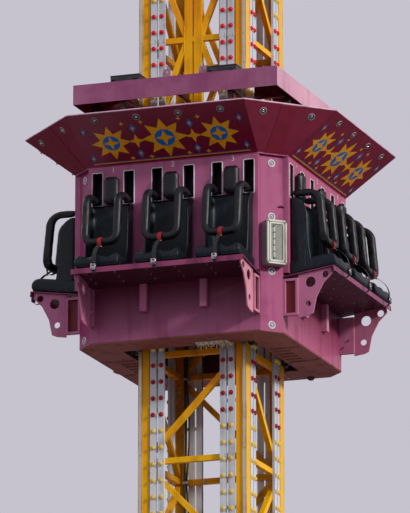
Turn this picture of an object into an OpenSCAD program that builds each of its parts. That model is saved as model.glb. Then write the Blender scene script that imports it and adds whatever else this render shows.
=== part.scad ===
// Drop tower ride with a four-sided passenger carriage on a square lattice tower.
// Millimetres, +Z up, origin on the ground at the middle of the base, front towards -Y.

/* [Tower] */
// Width of the square tower over its guide rails
tower_w = 1236; // [1180:4:1280]
// Height from one lattice node to the next
panel_h = 1172; // [1100:4:1250]
// Height of the lowest lattice node above the base beams
first_node_up = 210; // [205:5:260]
// Number of lattice panels up the tower
panel_count = 12; // [11:1:14]
// Side of a square column tube
column_w = 120; // [100:5:130]
// Wall of a column tube
column_wall = 10; // [6:1:16]
// Side of a square brace tube
brace_w = 60; // [40:5:70]
// How far a diagonal ends above or below its node
brace_step = 75; // [60:5:110]
// Width of a bare guide rail
rail_w = 45; // [35:1:60]
// Thickness of a guide rail
rail_t = 12; // [8:1:16]
// Width of one light strip
strip_w = 72; // [60:2:80]
// Depth of one light strip
strip_t = 28; // [20:1:34]
// Gap between the two strips of a pair
strip_gap = 20; // [10:1:30]
// Distance from a column to its pair of strips
strip_off = 16; // [8:1:24]
// Width of one bar of the centre post
post_w = 92; // [70:2:110]
// Groove between the two bars of the centre post
post_gap = 18; // [10:2:30]

/* [Base] */
// Length of a base beam
base_w = 5800; // [5400:50:6400]
// Height of a base beam
beam_h = 300; // [240:10:340]
// Flange width of a base beam
beam_w = 200; // [160:10:220]
// Flange thickness of a base beam
flange_t = 18; // [12:1:24]
// Web thickness of a base beam
web_t = 12; // [8:1:16]
// Height of the levelling feet under the beams
foot_h = 120; // [90:5:160]
// Diameter of a foot pad
foot_d = 300; // [240:10:400]
// Height of the boarding deck
deck_z = 700; // [640:10:720]
// Gap between the carriage and the edge of the deck
well_gap = 97; // [80:1:120]
// Number of risers from the ground to the deck
riser_count = 4; // [4:1:5]

/* [Carriage] */
// Width of the carriage body over its lower walls
body_w = 2322; // [2300:2:2340]
// Leg of a cut-off corner of the body
corner_leg = 188; // [180:1:196]
// Height of the walls
wall_h = 1943; // [1900:5:2000]
// Thickness of the sheet walls
sheet_t = 20; // [12:1:28]
// How far the upper wall panels stand proud
proud_t = 62; // [40:1:70]
// Height of the lower edge of the proud panels
proud_z = 660; // [620:5:700]
// Thickness of the floor and top plates
plate_t = 12; // [8:1:20]
// Side of the opening round the tower
opening_w = 1494; // [1460:2:1520]
// How far the canopy flares out from the walls
canopy_out = 568; // [500:4:620]
// How much further a long canopy side reaches at its top than at its foot, at each end
canopy_fan = 44; // [20:2:70]
// Height of the canopy above the walls
canopy_h = 430; // [380:5:480]
// Upright thickness of a canopy sheet
canopy_t = 12; // [8:1:20]
// How far the square hood stands out over the lower walls
hood_over = 13; // [5:1:20]
// Depth of the hood
hood_h = 214; // [180:2:240]
// Height of the hood's lower edge above the wall top
hood_gap = 751; // [720:1:800]
// Lattice node that the carriage floor stands at
rest_panel = 6; // [5:1:7]
// Height of the carriage floor above that node
rest_above = 31; // [0:1:60]

/* [Seats] */
// Width of a seat
seat_w = 500; // [480:2:520]
// Distance from an outer seat to the end of the body side
seat_margin = 38; // [30:2:50]
// Upward slope of the seat pans
seat_tilt = 8; // [5:0.5:10]
// Distance that a seat pan reaches out from the lower wall
pan_len = 600; // [560:5:640]
// Thickness of a seat pan
pan_t = 165; // [140:5:180]
// Depth of the side wings of a seat back
wing_d = 195; // [150:5:210]
// Height of the top of the seat back above the floor
back_top = 1500; // [1440:5:1510]
// Distance of a slot's centre from the seat's centre
slot_off = 181; // [175:1:185]
// Width of a slot
slot_w = 112; // [100:1:120]
// Height of the lower end of a slot
slot_z = 1515; // [1500:5:1530]
// Height of a slot
slot_h = 362; // [350:2:380]
// Height of the restraint's pivot
pivot_z = 1560; // [1550:2:1570]
// Depth of the pivot behind the proud panel's face
pivot_in = 125; // [115:1:130]
// Reach of the restraint from its pivot to the middle of the chest pads
arm_reach = 450; // [430:5:460]
// Radius of the restraint's bend over the shoulder
shoulder_r = 140; // [120:5:160]
// Drop of the restraint from its pivot to the lap
chest_len = 565; // [520:5:580]
// Outward lean of the chest pads
chest_lean = 6; // [2:0.5:8]
// Thickness of a restraint pad
pad_t = 80; // [60:2:84]
// Width of a restraint pad
pad_w = 84; // [70:2:86]
// Distance from the panel's face to where the pads start
pad_start = 40; // [30:2:60]

/* [Hoist] */
// Diameter of the hoist rope
rope_d = 16; // [12:1:20]
// Radius of the rope's path round a sheave
sheave_r = 290; // [280:1:296]
// Distance from the tower's axis to the outer fall of rope
fall_x = 682; // [678:1:686]
// Width of a sheave rim
sheave_w = 44; // [36:2:60]
// Height of the lower sheave's centre above the beams
winch_up = 340; // [320:5:380]
// Height of the upper sheave's centre above the crown
crown_up = 410; // [400:5:450]

/* [Hidden] */
$fn = 48;

front = 0;
right = 90;
back = 180;
left = 270;
sides = [front, right, back, left];
seam = 0.3;
yellow = "#d89a12";
plum = "#8c4a78";
bare = "#c9bda6";

// Heights of the base and the tower
beam_z = foot_h;
beam_top = foot_h + beam_h;
shoe_t = 20;
node_z0 = beam_top + first_node_up;
top_node_z = node_z0 + panel_count * panel_h;
column_z0 = beam_top + shoe_t;
column_top = top_node_z + brace_w / 2;
half_t = tower_w / 2;
column_x = half_t - column_w / 2;
column_y = half_t - rail_t - column_w / 2;
brace_c = half_t - strip_t - brace_w / 2;
brace_d = brace_w - 4;
first_post_node = 8;
pad_h = 25;
screw_d = 60;
bearing_d = 60;

// Places on the carriage, measured from its floor
car_z = node_z0 + rest_panel * panel_h + rest_above;
side_w = body_w - 2 * corner_leg;
half_b = body_w / 2;
half_s = side_w / 2;
half_p = half_b + proud_t;
half_o = opening_w / 2;
half_h = half_b + hood_over;
well_w = 2 * (half_p + well_gap);
canopy_foot = half_s - 4;
canopy_half = half_p + canopy_out;
canopy_reach = canopy_foot + canopy_fan;
wall_z = plate_t;
roof_z = wall_h;
canopy_z = roof_z + plate_t;
hood_z = wall_h + hood_gap;
hood_top = hood_z + hood_h;
hood_t = 10;
hood_mouth = half_t + 82;
shelf_t = 10;
shelf_z = 612;
shelf_len = pan_len - 20;
pivot_u = half_p - pivot_in;
seat_count = 3;
seat_pitch = (side_w - 2 * seat_margin - seat_w) / (seat_count - 1);
seat_row = [for (i = [0 : seat_count - 1]) (i - (seat_count - 1) / 2) * seat_pitch];
shell_t = 30;
wing_w = 22;
arm_d = 46;
shaft_d = 40;
run_fit = 0.1;

// An I-section beam along X, centred, standing on z = 0
module i_beam(length) {
    rotate([90, 0, 90])
        linear_extrude(length, center = true) {
            translate([-beam_w / 2, 0]) square([beam_w, flange_t]);
            translate([-beam_w / 2, beam_h - flange_t]) square([beam_w, flange_t]);
            translate([-web_t / 2, 0]) square([web_t, beam_h]);
        }
}

// A tube along X between two points of a face, with ends cut upright, a little shallower
// than the tubes that it meets
module brace(x0, z0, x1, z1) {
    run = x1 - x0;
    rise = z1 - z0;
    length = norm([run, rise]);
    angle = atan2(rise, run);
    over = brace_w * abs(tan(angle));
    intersection() {
        translate([x0, -brace_d / 2, z0])
            rotate([0, -angle, 0])
            translate([-over, 0, -brace_w / 2])
            cube([length + 2 * over, brace_d, brace_w]);
        translate([min(x0, x1), -brace_w, min(z0, z1) - 2 * brace_w])
            cube([abs(run), 2 * brace_w, abs(rise) + 4 * brace_w]);
    }
}

module base_beams() {
    color(yellow) {
        for (s = [-1, 1])
            translate([0, s * column_y, beam_z]) i_beam(base_w);
        for (s = [-1, 1])
            translate([s * column_x, 0, beam_z]) rotate([0, 0, 90]) {
                i_beam(2 * column_y - beam_w);
                outer = base_w / 2 - column_y - beam_w / 2;
                for (e = [-1, 1])
                    translate([e * (base_w / 2 - outer / 2), 0, 0]) i_beam(outer);
            }
        translate([-column_x + beam_w / 4, -column_y + beam_w, beam_top])
            cube([2 * column_x - beam_w / 2, 2 * (column_y - beam_w), shoe_t]);
    }
}

module foot() {
    cylinder(h = pad_h, d = foot_d);
    translate([0, 0, pad_h]) cylinder(h = foot_h - pad_h, d = screw_d);
    translate([0, 0, foot_h - 35]) cylinder(h = 35, d = 2 * screw_d, $fn = 6);
}

module levelling_feet() {
    end = base_w / 2 - foot_d / 2;
    color("dimgray") {
        for (x = [-end, -column_x, column_x, end])
            for (y = [-column_y, column_y])
                translate([x, y, 0]) foot();
        for (x = [-column_x, column_x])
            for (y = [-end, end])
                translate([x, y, 0]) foot();
    }
}

// A base plate with upright stiffeners on the two outer sides of a column
module shoe() {
    plate_w = 2 * column_w + 20;
    stiff_t = 16;
    stiff_h = 150;
    translate([-plate_w / 2, -plate_w / 2, 0]) cube([plate_w, plate_w, shoe_t]);
    for (a = [0 : 90 : 270])
        rotate([0, 0, a])
            translate([column_w / 2 + seam, stiff_t / 2, shoe_t])
            rotate([90, 0, 0])
            linear_extrude(stiff_t)
            polygon([[0, 0], [plate_w / 2 - column_w / 2 - seam, 0], [20, stiff_h], [0, stiff_h]]);
}

module column_shoes() {
    color(yellow)
        for (x = [-1, 1])
            for (y = [-1, 1])
                translate([x * column_x, y * column_y, beam_top]) shoe();
}

module tower_columns() {
    inner = column_w - 2 * column_wall;
    color(yellow)
        for (x = [-1, 1])
            for (y = [-1, 1])
                translate([x * column_x, y * column_y, column_z0])
                    linear_extrude(column_top - column_z0)
                    difference() {
                        square(column_w, center = true);
                        square(inner, center = true);
                    }
}

module guide_rails() {
    rail_z = column_z0 + 160;
    color(bare)
        for (x = [-1, 1])
            for (y = [-1, 1])
                translate([x * (half_t - rail_w / 2) - rail_w / 2,
                           y * (half_t - rail_t / 2) - rail_t / 2, rail_z])
                    cube([rail_w, rail_t, column_top - rail_z]);
}

// One side of the lattice. reach is where its tubes meet the columns, first is the side
// that the diagonals meet at on even nodes, post_from is the node that the centre post
// starts at, and the lowest open_panels are left open
module lattice(reach, first, post_from, open_panels) {
    for (i = [open_panels : panel_count])
        translate([-reach, -brace_w / 2, node_z0 + i * panel_h - brace_w / 2])
            cube([2 * reach, brace_w, brace_w]);
    for (i = [open_panels : min(post_from, panel_count) - 1]) {
        lean = i % 2 == 0 ? first : -first;
        brace(lean * reach, node_z0 + i * panel_h + brace_step,
              -lean * reach, node_z0 + (i + 1) * panel_h - brace_step);
    }
    if (post_from < panel_count) {
        inner = post_gap / 2 + post_w;
        for (s = [-1, 1])
            translate([s * (post_gap / 2 + post_w / 2) - post_w / 2, -brace_w / 2,
                       node_z0 + post_from * panel_h])
                cube([post_w, brace_w, (panel_count - post_from) * panel_h]);
        for (i = [post_from : panel_count - 1])
            for (s = [-1, 1]) {
                z_low = node_z0 + i * panel_h + brace_step;
                z_high = node_z0 + (i + 1) * panel_h - brace_step;
                if (i % 2 == 0)
                    brace(s * reach, z_low, s * inner, z_high);
                else
                    brace(s * inner, z_low, s * reach, z_high);
            }
    }
}

module on_side(side) {
    rotate([0, 0, side]) children();
}

module lattice_front() {
    color(yellow) on_side(front) translate([0, -brace_c, 0])
        lattice(column_x - column_w / 2, 1, first_post_node, 0);
}

module lattice_back() {
    color(yellow) on_side(back) translate([0, -brace_c, 0])
        lattice(column_x - column_w / 2, 1, first_post_node, 0);
}

module lattice_right() {
    color(yellow) on_side(right) translate([0, -brace_c, 0])
        lattice(column_y - column_w / 2, -1, panel_count, 0);
}

module lattice_left() {
    color(yellow) on_side(left) translate([0, -brace_c, 0])
        lattice(column_y - column_w / 2, 1, panel_count, 1);
}

// A pair of strips beside the column at +X, with clips back to the column
module strip_pair(column_in) {
    strip_z = column_z0 + 200;
    strip_len = column_top - strip_z;
    far = column_in - strip_off - 2 * strip_w - strip_gap;
    translate([far, -half_t, strip_z]) cube([strip_w, strip_t, strip_len]);
    translate([far + strip_w + strip_gap, -half_t, strip_z]) cube([strip_w, strip_t, strip_len]);
    clip_h = 40;
    for (i = [1 : panel_count])
        translate([far, -half_t + strip_t - 6, node_z0 + (i - 0.5) * panel_h])
            cube([column_in - far, 6, clip_h]);
}

module light_strips() {
    color("lightsteelblue")
        for (side = sides)
            on_side(side)
                for (m = [0, 1])
                    mirror([m, 0, 0])
                        strip_pair((side % 180 == 0 ? column_x : column_y) - column_w / 2);
}

module crown_frame() {
    ring = 100;
    cheek_t = 16;
    cheek_gap = sheave_w / 2 + 12;
    crown_z = column_top;
    axle_x = -(fall_x - sheave_r);
    color(yellow) {
        for (s = [-1, 1])
            translate([-half_t, s * column_y - ring / 2, crown_z]) cube([tower_w, ring, ring]);
        for (s = [-1, 1])
            translate([s * column_x - ring / 2, -column_y + ring / 2, crown_z])
                cube([ring, 2 * column_y - ring, ring]);
        for (s = [-1, 1])
            translate([-column_x + ring / 2, s * (cheek_gap + ring / 2) - ring / 2, crown_z])
                cube([2 * column_x - ring, ring, ring]);
        for (s = [-1, 1])
            translate([axle_x, s * (cheek_gap + cheek_t / 2) + cheek_t / 2, crown_z + ring])
                rotate([90, 0, 0])
                linear_extrude(cheek_t)
                difference() {
                    union() {
                        polygon([[-180, 0], [180, 0], [70, crown_up - ring], [-70, crown_up - ring]]);
                        translate([0, crown_up - ring]) circle(d = 140);
                    }
                    translate([0, crown_up - ring]) circle(d = bearing_d);
                }
    }
}

// A grooved sheave about the Y axis, with an open five-arm web
module sheave(shaft_len) {
    rope_r = rope_d / 2;
    seat_r = sheave_r - rope_r - seam;
    rim_r = sheave_r + rope_r + 6;
    rim_t = 34;
    hub_d = 120;
    rotate([90, 0, 0]) {
        rotate_extrude($fn = 96)
            polygon([[seat_r - rim_t, -sheave_w / 2 + 8], [rim_r, -sheave_w / 2],
                     [rim_r, -rope_r - 6], [seat_r, -rope_r - seam], [seat_r, rope_r + seam],
                     [rim_r, rope_r + 6], [rim_r, sheave_w / 2], [seat_r - rim_t, sheave_w / 2 - 8]]);
        cylinder(h = sheave_w, d = hub_d, center = true);
        for (a = [0 : 72 : 288])
            rotate([0, 0, a])
                translate([0, -20, -9])
                cube([seat_r - rim_t + 10, 40, 18]);
        cylinder(h = shaft_len, d = bearing_d - 2 * seam, center = true);
    }
}

module crown_sheave() {
    color("dimgray")
        translate([-(fall_x - sheave_r), 0, column_top + crown_up]) sheave(sheave_w + 56);
}

// The lower sheave between two stands, with its gearbox on the shaft and the motor beside it
module winch() {
    axle_x = -(fall_x - sheave_r);
    up = winch_up - shoe_t;
    stand_y = sheave_w / 2 + 24;
    stand_t = 40;
    box_y = stand_y + stand_t + 10;
    box_len = 200;
    box_w = 300;
    box_h = up + 150;
    motor_d = 230;
    motor_len = 380;
    shaft_len = 2 * (stand_y + stand_t);
    color("slategray")
        translate([axle_x, 0, beam_top + shoe_t]) {
            translate([0, 0, up]) sheave(shaft_len);
            translate([0, 0, up]) rotate([-90, 0, 0])
                cylinder(h = box_y + 5, d = bearing_d - 2 * seam);
            for (s = [-1, 1])
                translate([0, s * (stand_y + stand_t / 2) + stand_t / 2, 0])
                    rotate([90, 0, 0])
                    linear_extrude(stand_t)
                    difference() {
                        polygon([[-100, 0], [100, 0], [60, up + 70], [-60, up + 70]]);
                        translate([0, up]) circle(d = bearing_d);
                    }
            translate([-box_w / 2, box_y, 0]) cube([box_w, box_len, box_h]);
            translate([box_w / 2, box_y + box_len / 2, motor_d / 2 + 15])
                rotate([0, 90, 0]) cylinder(h = motor_len, d = motor_d);
            for (x = [60, motor_len - 120])
                translate([box_w / 2 + x, box_y + box_len / 2 - motor_d / 2, 0])
                    cube([60, motor_d, motor_d / 3]);
        }
}

// The rope is one closed loop: two straight falls and a half turn round each sheave
module hoist_rope() {
    axle_x = -(fall_x - sheave_r);
    low_z = beam_top + winch_up;
    high_z = column_top + crown_up;
    color("#333333")
        translate([axle_x, 0, 0]) {
            for (s = [-1, 1])
                translate([s * sheave_r, 0, low_z]) cylinder(h = high_z - low_z, d = rope_d);
            translate([0, 0, high_z]) rotate([90, 0, 0])
                rotate_extrude(angle = 180, $fn = 96) translate([sheave_r, 0]) circle(d = rope_d);
            translate([0, 0, low_z]) rotate([-90, 0, 0])
                rotate_extrude(angle = 180, $fn = 96) translate([sheave_r, 0]) circle(d = rope_d);
        }
}

module buffers() {
    buffer_h = 190;
    buffer_x = (half_o + half_b) / 2;
    color("#2b2b2b")
        for (side = sides)
            on_side(side)
                for (s = [-1, 1])
                    translate([s * (side % 180 == 0 ? column_x : column_y), -buffer_x, beam_top]) {
                        cylinder(h = 20, d = 150);
                        cylinder(h = buffer_h, d = 110);
                    }
}

// One deck segment: chequer plate on an edge frame with legs
module deck_segment(long_w, depth) {
    edge_h = 120;
    edge_w = 60;
    top_t = 8;
    translate([-long_w / 2, 0, deck_z - top_t]) cube([long_w, depth, top_t]);
    difference() {
        translate([-long_w / 2, 0, deck_z - top_t - edge_h]) cube([long_w, depth, edge_h]);
        translate([-long_w / 2 + edge_w, edge_w, deck_z - top_t - edge_h - 1])
            cube([long_w - 2 * edge_w, depth - 2 * edge_w, edge_h + 1]);
    }
}

module boarding_deck() {
    well = well_w / 2;
    half = base_w / 2;
    under = deck_z - 128;
    leg = 60;
    joint = 2;
    color("gray") {
        for (s = [0, 180])
            rotate([0, 0, s]) {
                translate([0, -half, 0]) deck_segment(base_w, half - well);
                for (x = [-column_x, column_x])
                    for (y = [-half + leg / 2, -well - leg / 2])
                        translate([x - leg / 2, y - leg / 2, beam_top])
                            cube([leg, leg, under - beam_top]);
                for (x = [-half, half - leg])
                    for (y = [-half, -well - leg])
                        translate([x, y, 0]) cube([leg, leg, under]);
            }
        for (s = [90, 270])
            rotate([0, 0, s]) {
                translate([0, -half, 0]) deck_segment(well_w - 2 * joint, half - well);
                for (x = [-column_y, column_y])
                    for (y = [-half + leg / 2, -well - leg / 2])
                        translate([x - leg / 2, y - leg / 2, beam_top])
                            cube([leg, leg, under - beam_top]);
            }
    }
}

module deck_steps() {
    step_w = 900;
    going = 260;
    rise = deck_z / riser_count;
    tread_t = 40;
    cheek_t = 40;
    count = riser_count - 1;
    run = count * going;
    color("gray")
        for (s = [0, 180])
            rotate([0, 0, s])
                translate([0, -base_w / 2 - seam, 0]) {
                    for (i = [1 : count])
                        translate([-step_w / 2, -(riser_count - i) * going, i * rise - tread_t])
                            cube([step_w, going, tread_t]);
                    for (c = [-1, 1])
                        translate([c * (step_w / 2 + cheek_t / 2) - cheek_t / 2, 0, 0])
                            rotate([90, 0, 90])
                            linear_extrude(cheek_t)
                            polygon([[0, deck_z - 10], [-run, rise], [-run, 0],
                                     [-run + 200, 0], [0, deck_z - 10 - rise - 150]]);
                }
}

// The carriage modules below are drawn from the carriage floor
module carriage() {
    translate([0, 0, car_z]) children();
}

// One wall: a sheet behind a proud upper panel, with two slots beside each headrest
// and a pair of bearing brackets behind each seat for the restraint's shaft
module wall() {
    bracket_t = 24;
    bracket_h = 90;
    bracket_x = 95;
    bracket_d = pivot_in - proud_t - sheet_t + 45;
    for (x = seat_row)
        for (s = [-1, 1])
            translate([x + s * bracket_x - bracket_t / 2, 0, pivot_z])
                rotate([90, 0, 90])
                linear_extrude(bracket_t)
                difference() {
                    translate([-half_b + sheet_t - 1, -bracket_h / 2])
                        square([bracket_d + 1, bracket_h]);
                    translate([-pivot_u, 0]) circle(d = shaft_d + 2 * run_fit);
                }
    difference() {
        union() {
            translate([-half_s, -half_b, wall_z]) cube([side_w, sheet_t, wall_h - wall_z]);
            translate([-half_s + 4, -half_p, proud_z])
                cube([side_w - 8, proud_t + 1, wall_h - proud_z]);
        }
        for (x = seat_row)
            for (s = [-1, 1])
                translate([x + s * slot_off - slot_w / 2, -half_p - 1, slot_z])
                    cube([slot_w, proud_t + sheet_t + 2, slot_h]);
    }
}

module front_wall() {
    color(plum) carriage() on_side(front) wall();
}

module right_wall() {
    color(plum) carriage() on_side(right) wall();
}

module back_wall() {
    color(plum) carriage() on_side(back) wall();
}

module left_wall() {
    color(plum) carriage() on_side(left) wall();
}

module corner_facets() {
    color(plum) carriage()
        for (side = sides)
            on_side(side)
                translate([0, 0, wall_z])
                linear_extrude(wall_h - wall_z)
                polygon([[half_s + seam, -half_b + seam], [half_b - seam, -half_s - seam],
                         [half_b - sheet_t, -half_s - seam], [half_s + seam, -half_b + sheet_t]]);
}

// A quarter of an eight-sided plate with a square opening, seamed along the diagonals
module plate_quarter(half, straight, opening, thick) {
    mid = (half + straight) / 2;
    linear_extrude(thick)
        polygon([[-mid + 1, -mid], [-straight, -half], [straight, -half], [mid - 1, -mid],
                 [opening - 1, -opening], [-opening + 1, -opening]]);
}

module floor_plates() {
    color("#6b3a44") carriage()
        for (side = sides)
            on_side(side) plate_quarter(half_b, half_s, half_o, plate_t);
}

module top_plates() {
    color(plum) carriage()
        for (side = sides)
            on_side(side)
                translate([0, 0, roof_z]) plate_quarter(half_p, half_s - 4, half_o, plate_t);
}

// Posts at the corners of the opening and rails between them, top and bottom
module guide_frame() {
    tube = 60;
    place = half_o + tube / 2 + 4;
    color("dimgray") carriage() {
        for (x = [-1, 1])
            for (y = [-1, 1])
                translate([x * place - tube / 2, y * place - tube / 2, plate_t])
                    cube([tube, tube, roof_z - plate_t]);
        for (side = sides)
            on_side(side)
                for (z = [plate_t, pivot_z - 260, roof_z - tube])
                    translate([-place + tube / 2 + seam, -place - tube / 2, z])
                        cube([2 * place - tube - 2 * seam, tube, tube]);
    }
}

// A roller running against the tower at y = 0, with its fork reaching back to the frame
module roller(reach) {
    roller_d = 90;
    roller_w = 40;
    fork_t = 8;
    run_gap = 0.5;
    translate([0, -roller_d / 2 - run_gap, 0]) {
        rotate([0, 90, 0]) cylinder(h = roller_w, d = roller_d, center = true);
        rotate([0, 90, 0]) cylinder(h = roller_w + 2 * fork_t + 12, d = 20, center = true);
        for (s = [-1, 1])
            translate([s * (roller_w / 2 + 3 + fork_t / 2) - fork_t / 2,
                       -reach + roller_d / 2 + run_gap, -20])
                cube([fork_t, reach - roller_d / 2 + 10, 40]);
    }
}

module guide_rollers() {
    front_x = half_t - rail_w / 2;
    side_y = column_y;
    tube_face = half_o + 4;
    color("#1f1f24") carriage()
        for (z = [plate_t + 36, roof_z - 36]) {
            for (m = [0, 180])
                rotate([0, 0, m])
                    for (s = [-1, 1])
                        translate([s * front_x, -half_t, z]) roller(tube_face - half_t);
            for (m = [90, 270])
                rotate([0, 0, m])
                    for (s = [-1, 1])
                        translate([s * side_y, -half_t, z]) roller(tube_face - half_t);
        }
}

// A flat sheet with four corners, thickened straight up
module sloping_sheet(corners, thick) {
    up = [0, 0, thick];
    polyhedron(
        points = [corners[0], corners[1], corners[2], corners[3],
                  corners[0] + up, corners[1] + up, corners[2] + up, corners[3] + up],
        faces = [[0, 1, 2, 3], [7, 6, 5, 4], [1, 0, 4, 5], [2, 1, 5, 6], [3, 2, 6, 7], [0, 3, 7, 4]]);
}

module canopy_panels() {
    color(plum) carriage()
        for (side = sides)
            on_side(side)
                sloping_sheet([[-canopy_foot, -half_p, canopy_z], [canopy_foot, -half_p, canopy_z],
                               [canopy_reach, -canopy_half, canopy_z + canopy_h],
                               [-canopy_reach, -canopy_half, canopy_z + canopy_h]], canopy_t);
}

module canopy_corners() {
    color(plum) carriage()
        for (side = sides)
            on_side(side)
                sloping_sheet([[canopy_foot, -half_p, canopy_z], [half_p, -canopy_foot, canopy_z],
                               [canopy_half, -canopy_reach, canopy_z + canopy_h],
                               [canopy_reach, -canopy_half, canopy_z + canopy_h]], canopy_t);
}

// Upright plates on the roof that carry the sloping panels from behind
module canopy_struts() {
    strut_t = 12;
    slope = canopy_h / canopy_out;
    reach = 0.8 * canopy_out;
    base_in = 220;
    gap = canopy_t + seam;
    color(plum) carriage()
        for (side = sides)
            on_side(side)
                for (x = [-0.82 * half_s, 0, 0.82 * half_s])
                    translate([x + strut_t / 2, 0, canopy_z])
                        rotate([0, -90, 0])
                        linear_extrude(strut_t)
                        polygon([[0, -half_p + base_in], [0, -half_p + 2],
                                 [gap, -half_p], [gap + reach * slope, -half_p - reach],
                                 [gap + reach * slope + 30, -half_p - reach + 20]]);
}

// The square hood is four mitred lengths of an angle: a roof sheet and a skirt
module hood() {
    color(plum) carriage()
        for (side = sides)
            on_side(side) {
                translate([0, 0, hood_top - hood_t])
                    linear_extrude(hood_t)
                    polygon([[-half_h + 1, -half_h], [half_h - 1, -half_h],
                             [hood_mouth - 1, -hood_mouth], [-hood_mouth + 1, -hood_mouth]]);
                translate([0, 0, hood_z])
                    linear_extrude(hood_h - hood_t)
                    polygon([[-half_h + 1, -half_h], [half_h - 1, -half_h],
                             [half_h - hood_t - 1, -half_h + hood_t],
                             [-half_h + hood_t + 1, -half_h + hood_t]]);
            }
}

module hood_posts() {
    tube = 50;
    post_x = 0.524 * half_h;
    post_y = half_h - hood_t - tube / 2 - 40;
    color("#3a3030") carriage()
        for (side = sides)
            on_side(side)
                for (s = [-1, 1])
                    translate([s * post_x - tube / 2, -post_y - tube / 2, canopy_z])
                        cube([tube, tube, hood_top - hood_t - canopy_z]);
}

module hood_fittings() {
    box_w = 335;
    box_d = 200;
    box_h = 72;
    eye_w = 90;
    eye_t = 16;
    eye_h = 110;
    color("#26262b") carriage()
        translate([0, 0, hood_top])
        for (side = [front, back])
            on_side(side) {
                for (x = [-0.494 * half_h, 0.452 * half_h])
                    translate([x - box_w / 2, -half_h + 20, 0]) cube([box_w, box_d, box_h]);
                for (x = [-0.098 * half_h, 0.256 * half_h])
                    translate([x, -half_h + 60 + eye_t, 0])
                        rotate([90, 0, 0])
                        linear_extrude(eye_t)
                        difference() {
                            union() {
                                translate([-eye_w / 2, 0]) square([eye_w, eye_h - eye_w / 2]);
                                translate([0, eye_h - eye_w / 2]) circle(d = eye_w);
                            }
                            translate([0, eye_h - eye_w / 2]) circle(d = 36);
                        }
            }
}

// Moves to the foot of the seats, with the seats' upward slope
module on_shelf() {
    translate([0, -half_b, shelf_z]) rotate([-seat_tilt, 0, 0]) children();
}

module seat_shelves() {
    lip = 50;
    color(plum) carriage()
        for (side = sides)
            on_side(side)
                difference() {
                    on_shelf() {
                        translate([-half_s, -shelf_len, 0]) cube([side_w, shelf_len + 20, shelf_t]);
                        translate([-half_s, -shelf_len, -lip]) cube([side_w, shelf_t, lip]);
                    }
                    translate([-half_b, -half_b - seam, 0]) cube([body_w, 100, wall_h]);
                }
}

// The gusset's outline, outwards and up from the foot of the seats
module gusset_outline() {
    top = -seam;
    reach = shelf_len - 40;
    depth = 455;
    foot = -1.033 * depth;
    difference() {
        polygon([[0, top], [reach, top], [reach, -0.154 * depth], [0.796 * reach, -0.33 * depth],
                 [0.611 * reach, -0.637 * depth], [0.5 * reach, -depth], [0.4 * reach, foot], [0, foot]]);
        translate([0.963 * reach, -0.758 * depth]) circle(d = 0.725 * depth);
        translate([0.861 * reach, -0.136 * depth]) circle(d = 0.167 * depth);
        translate([0.535 * reach, -0.24 * depth]) circle(d = 0.25 * depth);
        translate([0.42 * reach, -0.75 * depth]) circle(d = 0.15 * depth);
    }
}

// A gusset stands at each end of a side, on a box with a framed recess towards the corner,
// and two plain brackets stand under the shelf between the seats
module shelf_gussets() {
    gusset_t = 14;
    gusset_x = half_s - 33;
    box_out = 165;
    box_w = 52;
    box_low = 190;
    box_high = 595;
    rim = 26;
    recess = 22;
    bracket_w = 76;
    bracket_out = 60;
    color(plum) carriage()
        for (side = sides)
            on_side(side) {
                for (s = [-1, 1]) {
                    difference() {
                        on_shelf()
                            translate([s * gusset_x - gusset_t / 2, 0, 0])
                            rotate([90, 0, 90])
                            mirror([1, 0, 0])
                            linear_extrude(gusset_t)
                            gusset_outline();
                        translate([-half_b, -half_b - box_out - seam, 0])
                            cube([body_w, 2 * box_out, wall_h]);
                    }
                    difference() {
                        translate([s * gusset_x - box_w / 2, -half_b - box_out, box_low])
                            cube([box_w, box_out - seam, box_high - box_low]);
                        translate([s * (gusset_x + box_w / 2) - recess, -half_b - box_out + rim,
                                   box_low + rim])
                            cube([2 * recess, box_out - 2 * rim, box_high - box_low - 2 * rim]);
                    }
                    translate([s * seat_pitch / 2 - bracket_w / 2, -half_b - bracket_out, 310])
                        cube([bracket_w, bracket_out - seam, shelf_z - 312]);
                }
            }
}

// Side outline of a seat pan: x is outwards along the slope, y is up
module pan_outline() {
    nose = 55;
    foot = proud_t + 4;
    translate([foot, 0]) square([pan_len - foot - nose, pan_t]);
    translate([foot, nose]) square([pan_len - foot, pan_t - 2 * nose]);
    for (y = [nose, pan_t - nose])
        translate([pan_len - nose, y]) circle(r = nose);
}

// Side outline of a wing of the seat back: -x is outwards, y is up
module wing_outline(high) {
    polygon([[0, 0], [0, high], [-0.45 * wing_d, high], [-wing_d, high - 90], [-wing_d, 300],
             [-wing_d - 60, 0]]);
}

module seat() {
    trough_r = 200;
    trough_x = 108;
    back_low = shelf_z + 120;
    wing_x = (seat_w - wing_w) / 2 - 4;
    difference() {
        union() {
            difference() {
                on_shelf()
                    translate([-seat_w / 2, 0, shelf_t + seam])
                    rotate([90, 0, 90])
                    mirror([1, 0, 0])
                    linear_extrude(seat_w)
                    pan_outline();
                on_shelf()
                    for (s = [-1, 1])
                        translate([s * trough_x, -half_p, shelf_t + pan_t + trough_r - 42])
                            rotate([-90, 0, 0])
                            cylinder(h = 2 * half_p, r = trough_r);
            }
            translate([-wing_x, -half_p - seam - shell_t, back_low])
                cube([2 * wing_x, shell_t, back_top - back_low]);
            for (s = [-1, 1])
                translate([s * wing_x - wing_w / 2, -half_p, back_low - 15])
                    rotate([90, 0, 90])
                    linear_extrude(wing_w)
                    wing_outline(back_top + 10 - back_low);
        }
        translate([-seat_w, -half_p - seam, 0]) cube([2 * seat_w, 200, wall_h]);
    }
}

module seats() {
    for (x = seat_row)
        translate([x, 0, 0]) seat();
}

module seats_front() {
    color("#23272e") carriage() on_side(front) seats();
}

module seats_right() {
    color("#23272e") carriage() on_side(right) seats();
}

module seats_back() {
    color("#23272e") carriage() on_side(back) seats();
}

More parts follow.
